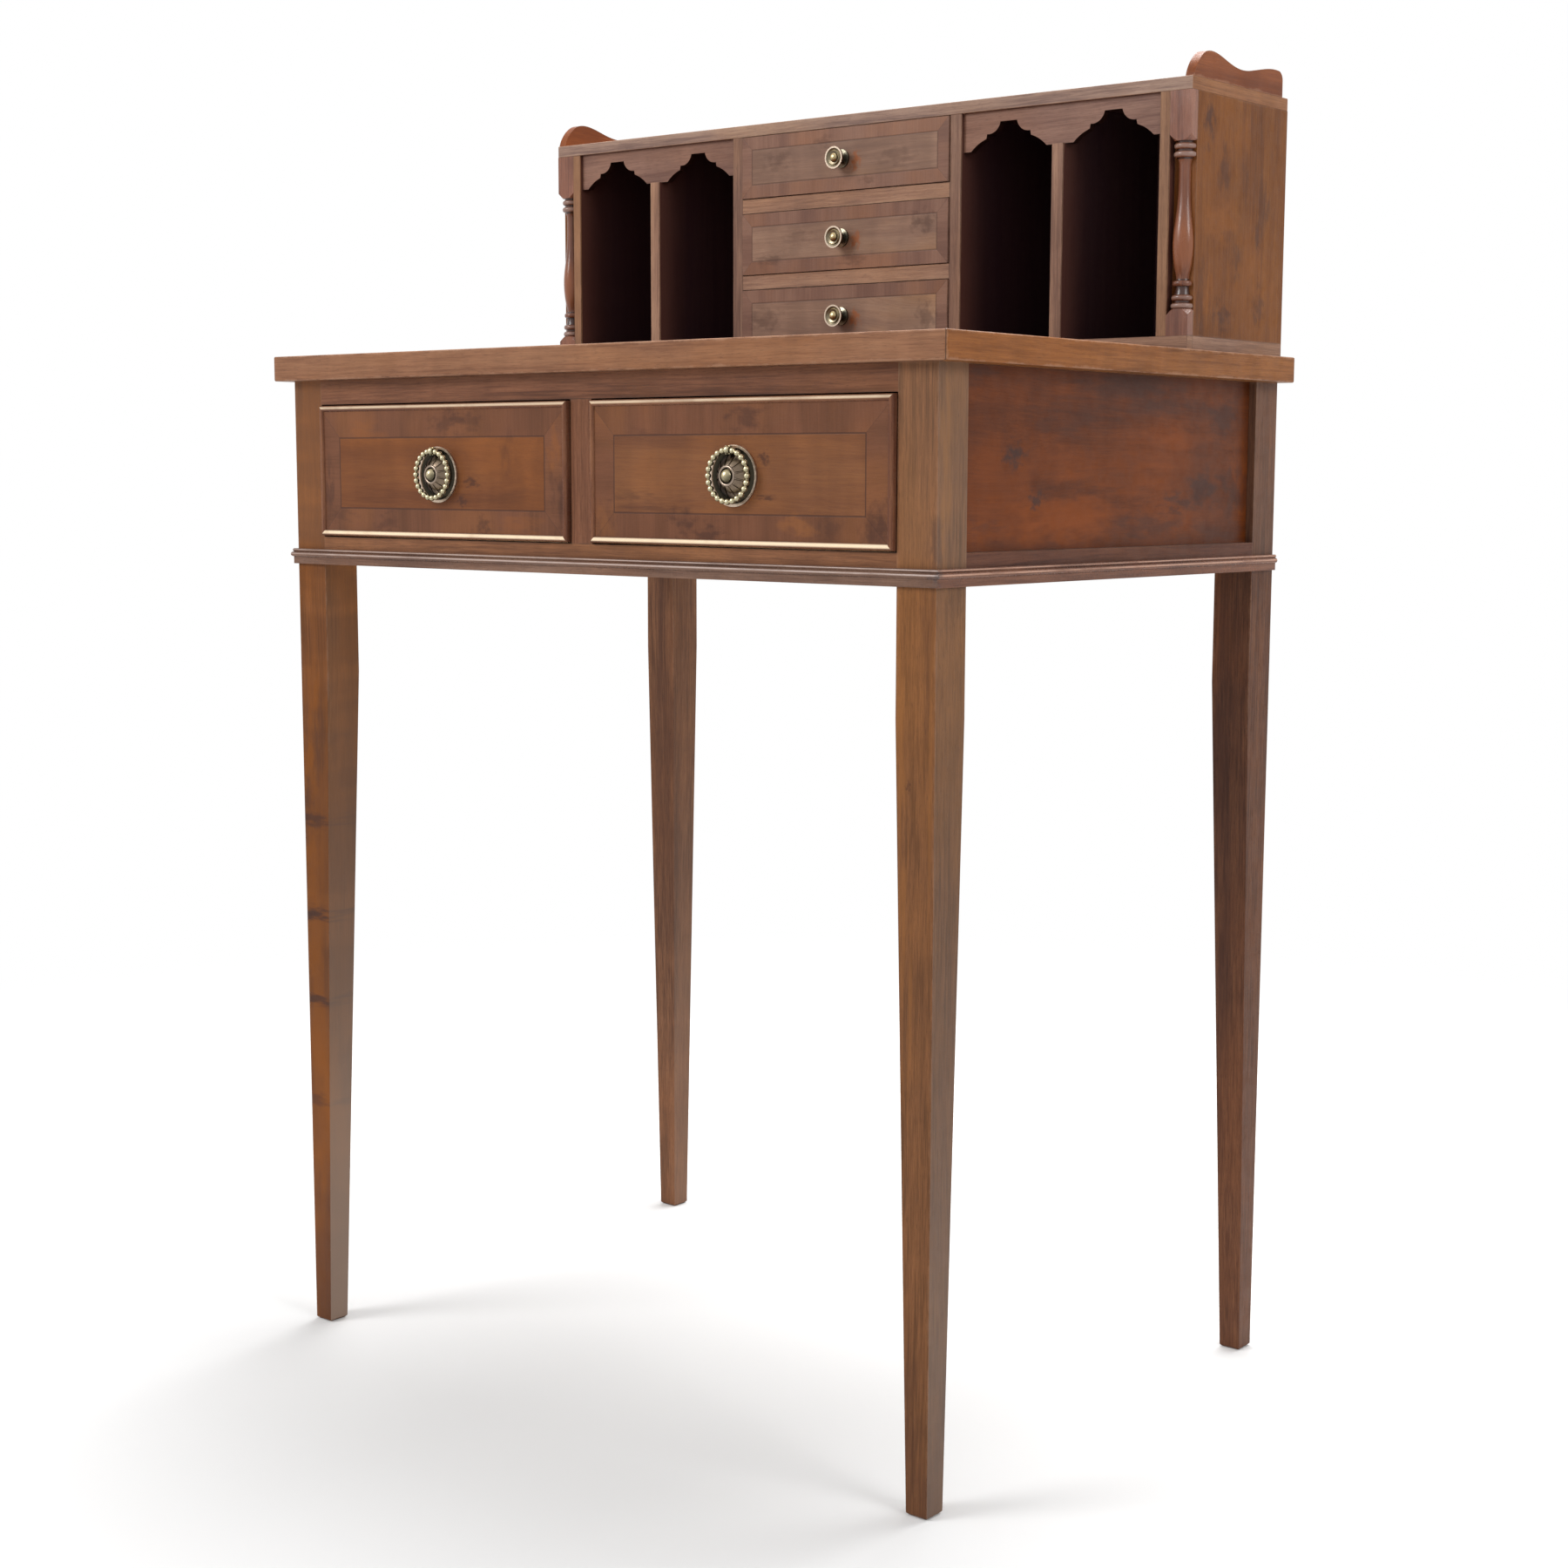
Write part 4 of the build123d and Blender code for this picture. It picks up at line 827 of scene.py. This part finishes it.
def moulding_material(node, direction, board):
    """The reeded moulding, dark in its quirks, with painted highlights along its crests."""
    tree = start_surface(node, "_wood")
    grain = use_grain(tree, grain_place(tree, direction, board), moulding_tones, trim_look)
    place = object_place(tree)
    up = split(tree, place)[2]
    colour = grain["Color"]
    for height, reach in moulding_crests:
        # Painted highlight along each crest
        highlight = near_value(tree, up, height * MM, reach * MM)
        colour = blend(tree, figure(tree, place, moulding_highlight_break, highlight), colour, moulding_highlight_colour)
    if direction == "Y":
        colour = blend(tree, 1.0, colour, side_moulding_tint, "MULTIPLY")
    colour = add_marks(tree, colour, moulding_marks, mitre_smudge_colour)
    rough, height = grain["Roughness"], grain["Height"]
    finish_surface(tree, colour, rough, height, coat=moulding_coat, gloss=moulding_gloss)


def spindle_material(node, board):
    """A split turning: square blocks, ringed ends with painted highlights on their crests, and a warm
    belly.
    """
    tree = start_surface(node, "_wood")
    low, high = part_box(node)
    place = object_place(tree)
    radius = from_axis(tree, place, "X", "Y", ((low[0] + high[0]) / 2, high[1]))[0]
    up = split(tree, place)[2]
    standing = grain_place(tree, "Z", board)
    square = use_grain(tree, standing, block_tones, rail_look)
    turned = use_grain(tree, standing, turned_tones, turned_look)
    belly = times(tree, near_value(tree, up, *in_metres(spindle_belly)), spindle_belly_strength)
    colour = blend(tree, belly, turned["Color"], (*turned_tones[3], 1))
    ringed = calc(tree, "MAXIMUM",
                  calc(tree, "LESS_THAN", up, spindle_rings[0] * MM),
                  calc(tree, "GREATER_THAN", up, spindle_rings[1] * MM))
    quirk = ease(tree, radius, *in_metres(spindle_quirk_edge))
    quirk = blend(tree, quirk, spindle_quirk_colour, turned["Color"])
    # Painted highlight on the proud crests of the rings
    highlight = ease(tree, radius, *in_metres(spindle_highlight_edge))
    highlight = blend(tree, highlight, quirk, spindle_highlight_colour)
    colour = blend(tree, ringed, colour, highlight)
    blocks = calc(tree, "MAXIMUM",
                  calc(tree, "LESS_THAN", up, spindle_foot * MM),
                  calc(tree, "GREATER_THAN", up, spindle_head * MM))
    colour = blend(tree, blocks, colour, square["Color"])
    colour, rough = add_edges(tree, node, colour, turned["Roughness"], butted_edges)
    finish_surface(tree, colour, rough, turned["Height"], coat=spindle_coat, gloss=spindle_gloss)


def brass_light_and_shade(tree, least):
    """Painted light and shade on brass: brighter where it faces up and outwards towards the light, darker
    where it faces down.
    """
    facing_up = calc_vector_value(tree, "DOT_PRODUCT", add(tree, "TexCoord").outputs["Normal"], brass_light_way)
    return ease(tree, facing_up, *brass_light_span, least, 1.0)


def tint(tree, colour, amount):
    """The colour at a share of its own brightness."""
    grey = add(tree, "CombineColor", {0: amount, 1: amount, 2: amount}).outputs[0]
    return blend(tree, 1.0, colour, grey, "MULTIPLY")


def brass_surface(tree, place, colour, proud):
    """Brings a brass colour, its dirt and its small dents to the surface."""
    patina = use_group(tree, patina_group, {"Place": place, "Proud": proud})
    colour = blend(tree, 1.0, colour, patina["Color"], "MULTIPLY")
    finish_surface(tree, colour, patina["Roughness"], patina["Height"], brass_bump, 0.0, brass_gloss, 1.0)


def handle_plate_material(node):
    """A pressed plate: bright rim, dark floor, brown petals with a painted dark reflection on their left,
    pale collar and a boss in painted light and shade.
    """
    tree = start_surface(node, "_brass")
    low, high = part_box(node)
    place = object_place(tree)
    middles = ((low[0] + high[0]) / 2, (low[2] + high[2]) / 2)
    radius, (across, up) = from_axis(tree, place, "X", "Z", middles)
    colour = blend(tree, ease(tree, radius, *in_metres(plate_rim_edge)), brass_floor, brass_rim)
    colour = blend(tree, ease(tree, radius, *in_metres(plate_petal_edge)), colour, brass_petal)
    # Painted dark reflection on the left side of the petals
    dark_reflection = near_value(tree, radius, *in_metres(plate_reflection_ring))
    dark_reflection = times(tree, dark_reflection, ease(tree, across, *in_metres(plate_reflection_side)))
    colour = blend(tree, times(tree, dark_reflection, plate_dark_reflection), colour, brass_recess_and_reflection)
    for ring, ring_colour in ((plate_collar_ring, brass_collar), (plate_quirk_ring, brass_recess_and_reflection)):
        colour = blend(tree, near_value(tree, radius, *in_metres(ring)), colour, ring_colour)
    # Painted light and shade on the boss
    button = tint(tree, brass_bright, brass_light_and_shade(tree, plate_boss_least))
    colour = blend(tree, ease(tree, radius, *in_metres(plate_boss_edge)), colour, button)
    above = calc(tree, "GREATER_THAN", up, plate_lug_low * MM)
    within = calc(tree, "LESS_THAN", radius, plate_lug_reach * MM)
    out = calc(tree, "LESS_THAN", split(tree, place)[1], low[1] + plate_lug_depth * MM)
    lug = times(tree, times(tree, above, within), out)
    lug_colour = tint(tree, brass_bead, brass_light_and_shade(tree, plate_lug_least))
    colour = blend(tree, lug, colour, lug_colour)
    brass_surface(tree, place, colour, plate_proud)


def knob_material(node):
    """A turned knob: rubbed rim and button, tarnished in its dish and down its waist, with painted shade
    where it faces down.
    """
    tree = start_surface(node, "_brass")
    low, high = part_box(node)
    place = object_place(tree)
    middles = ((low[0] + high[0]) / 2, (low[2] + high[2]) / 2)
    radius = from_axis(tree, place, "X", "Z", middles)[0]
    depth = split(tree, place)[1]
    colour = blend(tree, ease(tree, radius, *in_metres(knob_rim_edge)), brass_head, brass_rim)
    colour = blend(tree, near_value(tree, radius, *in_metres(knob_dish_ring)), colour, brass_middle)
    colour = blend(tree, ease(tree, radius, *in_metres(knob_button_edge)), colour, brass_button)
    for (start, end), edge_colour in ((knob_waist_edge, brass_olive), (knob_rose_edge, brass_rose)):
        edge = ease(tree, depth, low[1] + start * MM, low[1] + end * MM)
        colour = blend(tree, edge, colour, edge_colour)
    # Painted light and shade by which way the knob faces
    brass_surface(tree, place, tint(tree, colour, brass_light_and_shade(tree, knob_least)), plate_proud)


def ring_material(node):
    """A ring of rubbed beads with dirt between them, and painted shade where it faces down."""
    tree = start_surface(node, "_brass")
    low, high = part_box(node)
    place = object_place(tree)
    reach = (high[0] - low[0]) / 2
    radius = from_axis(tree, place, "X", "Z", (low[0] + reach, low[2] + reach))[0]
    middle = ((low[1] + high[1]) / 2, reach - ring_bead_reach)
    both = add(tree, "CombineXYZ", {0: split(tree, place)[1], 1: radius}).outputs[0]
    off = from_axis(tree, both, "X", "Y", middle)[0]
    beads = ease(tree, off, *(share * ring_bead_reach for share in ring_bead_edge_shares))
    # Painted light and shade by which way the beads face
    bead = tint(tree, brass_bead, brass_light_and_shade(tree, ring_least))
    brass_surface(tree, place, blend(tree, beads, brass_wire, bead), ring_proud)


# Floor, light and camera

def make_floor():
    """White to the camera far away, and a matt floor that takes the shadow near the desk."""
    bpy.ops.object.select_all(action="DESELECT")
    bpy.ops.mesh.primitive_circle_add(
        vertices=floor_corners, radius=floor_radius, fill_type="NGON", location=(0, 0, floor_level))
    floor = bpy.context.object
    floor.name = "floor"
    material, tree = new_material("floor_white")
    away = calc_vector_value(tree, "LENGTH", object_place(tree))
    fade = ease(tree, away, floor_fade_near, floor_fade_far)
    matt = add(tree, "BsdfDiffuse", {"Color": floor_colour})
    path = add(tree, "LightPath").outputs
    seen = calc(tree, "MAXIMUM", path["Is Camera Ray"], path["Is Glossy Ray"])
    lift = add(tree, "Emission", {"Color": white, "Strength": times(tree, seen, floor_lift)})
    near = add(tree, "AddShader", {0: matt.outputs[0], 1: lift.outputs[0]})
    far = add(tree, "Emission", {"Color": white, "Strength": 1.0})
    shares = {0: times(tree, fade, seen), 1: near.outputs[0], 2: far.outputs[0]}
    add(tree, "OutputMaterial", {"Surface": add(tree, "MixShader", shares).outputs[0]})
    floor.data.materials.append(material)


def make_world():
    world = bpy.data.worlds.new("studio")
    bpy.context.scene.world = world
    world.use_nodes = True
    tree = world.node_tree
    tree.nodes.clear()
    path = add(tree, "LightPath").outputs
    seen = calc(tree, "MAXIMUM", path["Is Camera Ray"], path["Is Transmission Ray"])
    seen = calc(tree, "MAXIMUM", seen, path["Is Glossy Ray"])
    strength = ease(tree, seen, 0.0, 1.0, world_strength, 1.0)
    sky = add(tree, "Background", {"Color": white, "Strength": strength})
    add(tree, "OutputWorld", {"Surface": sky.outputs[0]})


def soft_lamp(name, place, size, power):
    data = bpy.data.lights.new(name, "AREA")
    data.shape = "DISK"
    data.size = size
    data.energy = power
    lamp = bpy.data.objects.new(name, data)
    bpy.context.scene.collection.objects.link(lamp)
    lamp.location = place
    lamp.rotation_euler = (Vector(lamp_target) - Vector(place)).to_track_quat("-Z", "Y").to_euler()


def make_camera():
    data = bpy.data.cameras.new("camera")
    data.sensor_width = sensor_width
    data.lens = focal_pixels / picture_side * sensor_width
    data.shift_x = -(centre_pixels[0] - picture_side / 2) / picture_side
    data.shift_y = (centre_pixels[1] - picture_side / 2) / picture_side
    camera = bpy.data.objects.new("camera", data)
    bpy.context.scene.collection.objects.link(camera)
    camera.location = camera_place
    camera.rotation_euler = (math.radians(90) + camera_pitch, 0, camera_yaw)
    camera.rotation_euler.rotate_axis("Z", camera_roll)
    bpy.context.scene.camera = camera


def make_studio():
    make_floor()
    make_world()
    soft_lamp("key", key_place, key_size, key_power)
    soft_lamp("top", top_place, top_size, top_power)
    soft_lamp("side", side_place, side_size, side_power)
    make_camera()
    bpy.context.scene.view_settings.view_transform = "Standard"


# Finishes: grain direction, tones, look, and what else shows on each piece

small_places = ("lower", "middle", "upper")


def paired(name, *settings):
    return {name + "_left": settings, name + "_right": settings}


cabinet_board = ("X", cabinet_tones, rail_look, butted_edges)
bare_board = ("Y", bare_tones, bare_look, bare_edges)
boards = {
    "leg_front_left": ("Z", left_leg_tones, curly_look, leg_edges),
    "leg_front_right": ("Z", leg_tones, leg_look, leg_edges),
    "leg_rear_left": ("Z", rear_left_lit_tones, leg_look, leg_edges),
    "leg_rear_right": ("Z", rear_tones, leg_look, leg_edges),
    "front_top_rail": ("X", rail_tones, rail_look, butted_edges),
    "front_bottom_rail": ("X", low_rail_tones, rail_look, butted_edges),
    "front_muntin": ("Z", muntin_tones, rail_look, butted_edges),
    "rear_panel": ("X", rail_tones, side_look, butted_edges),
    "top_panel": ("X", lipping_tones, field_look, butted_edges),
    "top_lipping_front": ("X", lipping_tones, rail_look, lipping_edges),
    "gallery_top": ("X", cabinet_tones, rail_look, open_edges),
    **dict.fromkeys(("gallery_base", "gallery_base_strip", "gallery_back", "case_rails"), cabinet_board),
    **dict.fromkeys(("drawer_guides", "drawer_kickers", "drawer_runners"), bare_board),
    **paired("top_lipping", "Y", slab_side_tones, rail_look, lipping_edges),
    **paired("side_rail", "Y", side_rail_tones, rail_look, butted_edges),
    **paired("side_panel", "Y", panel_tones, panel_look, butted_edges),
    **paired("gallery_side", "Z", side_tones, side_look, side_edges),
    **paired("gallery_lining", "Z", lining_tones, rail_look, butted_edges),
    **paired("gallery_divider", "Z", divider_tones, rail_look, butted_edges),
    **paired("case_wall", "Z", case_tones, rail_look, butted_edges),
    **paired("apron", "X", apron_tones, rail_look, butted_edges),
    **paired("scroll", "Y", scroll_tones, field_look, open_edges),
    **paired("drawer_box", *bare_board),
    **{"small_box_" + place: bare_board for place in small_places},
}
inside_boards = (
    "gallery_top", "gallery_base", "gallery_back", "case_rails",
    *paired("gallery_lining"), *paired("gallery_divider"), *paired("case_wall"),
)
lipped_ends = ("gallery_top", "gallery_base", "gallery_base_strip")
marked_boards = {
    "leg_front_left": (leg_marks_and_foot_shade_left, leg_glows_left, 1),
    "leg_front_right": (leg_marks_and_foot_shade_right, leg_glows_right, 1),
    "leg_rear_right": (rear_marks, (), 1),
    "leg_rear_left": (rear_marks, (), -1),
    "side_panel_left": (panel_marks, panel_glows, -1),
    "side_panel_right": (panel_marks, panel_glows, 1),
    "gallery_side_left": (side_marks, side_glows, -1),
    "gallery_side_right": (side_marks, side_glows, 1),
}
drawer_fronts = {
    "drawer_front_left": ((-250.5, -33.5), left_veneer_tones, drawer_marks_left, drawer_glows_left),
    "drawer_front_right": ((33.5, 250.5), veneer_tones, drawer_marks_right, drawer_glows_right),
}
drawer_line_heights = (646.5, 698.4)

# Board numbers, which give each piece a figure of its own; the plain boards count from nought
moulding_board, spindle_board, drawer_board, bead_board, small_board = 60, 64, 70, 80, 90
small_line_inset = 10.3


def finish_boards():
    for number, (node, settings) in enumerate(boards.items()):
        marks, glows, side = marked_boards.get(node, ((), (), 1))
        board_material(node, *settings, number, marks, glows, side)


def finish_trim():
    moulding_material("moulding_front", "X", moulding_board)
    for number, side in enumerate(("left", "right")):
        moulding_material("moulding_" + side, "Y", moulding_board + 1 + number)
        spindle_material("spindle_" + side, spindle_board + number)


def finish_drawers():
    for number, (node, (across, tones, marks, glows)) in enumerate(drawer_fronts.items()):
        low = in_metres((across[0], 0, drawer_line_heights[0]))
        high = in_metres((across[1], 0, drawer_line_heights[1]))
        banded_material(node, low, high, drawer_board + number, tones, band_tones, marks, glows)
        bead_material(node.replace("front", "bead"), bead_board + number)
    for number, place in enumerate(small_places):
        node = "small_front_" + place
        box_low, box_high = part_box(node)
        inset = Vector((small_line_inset, 0, small_line_inset)) * MM
        low = Vector(box_low) + inset
        high = Vector(box_high) - inset
        middle = (box_low[2] + box_high[2]) / 2 / MM
        beside_knob = (knob_shadow_place[0], box_low[1] / MM, middle + knob_shadow_place[1])
        knob_shadows = ((beside_knob, knob_shadow_reach, knob_shadow_strength),)
        banded_material(
            node, low, high, small_board + number, small_tones, small_band_tones, small_marks, (),
            small_look, small_line_strength, knob_shadows)


def finish_brass():
    for side in ("left", "right"):
        handle_plate_material("handle_plate_" + side)
        ring_material("handle_ring_" + side)
    for place in small_places:
        knob_material("small_knob_" + place)


make_studio()
finish_boards()
finish_trim()
finish_drawers()
finish_brass()
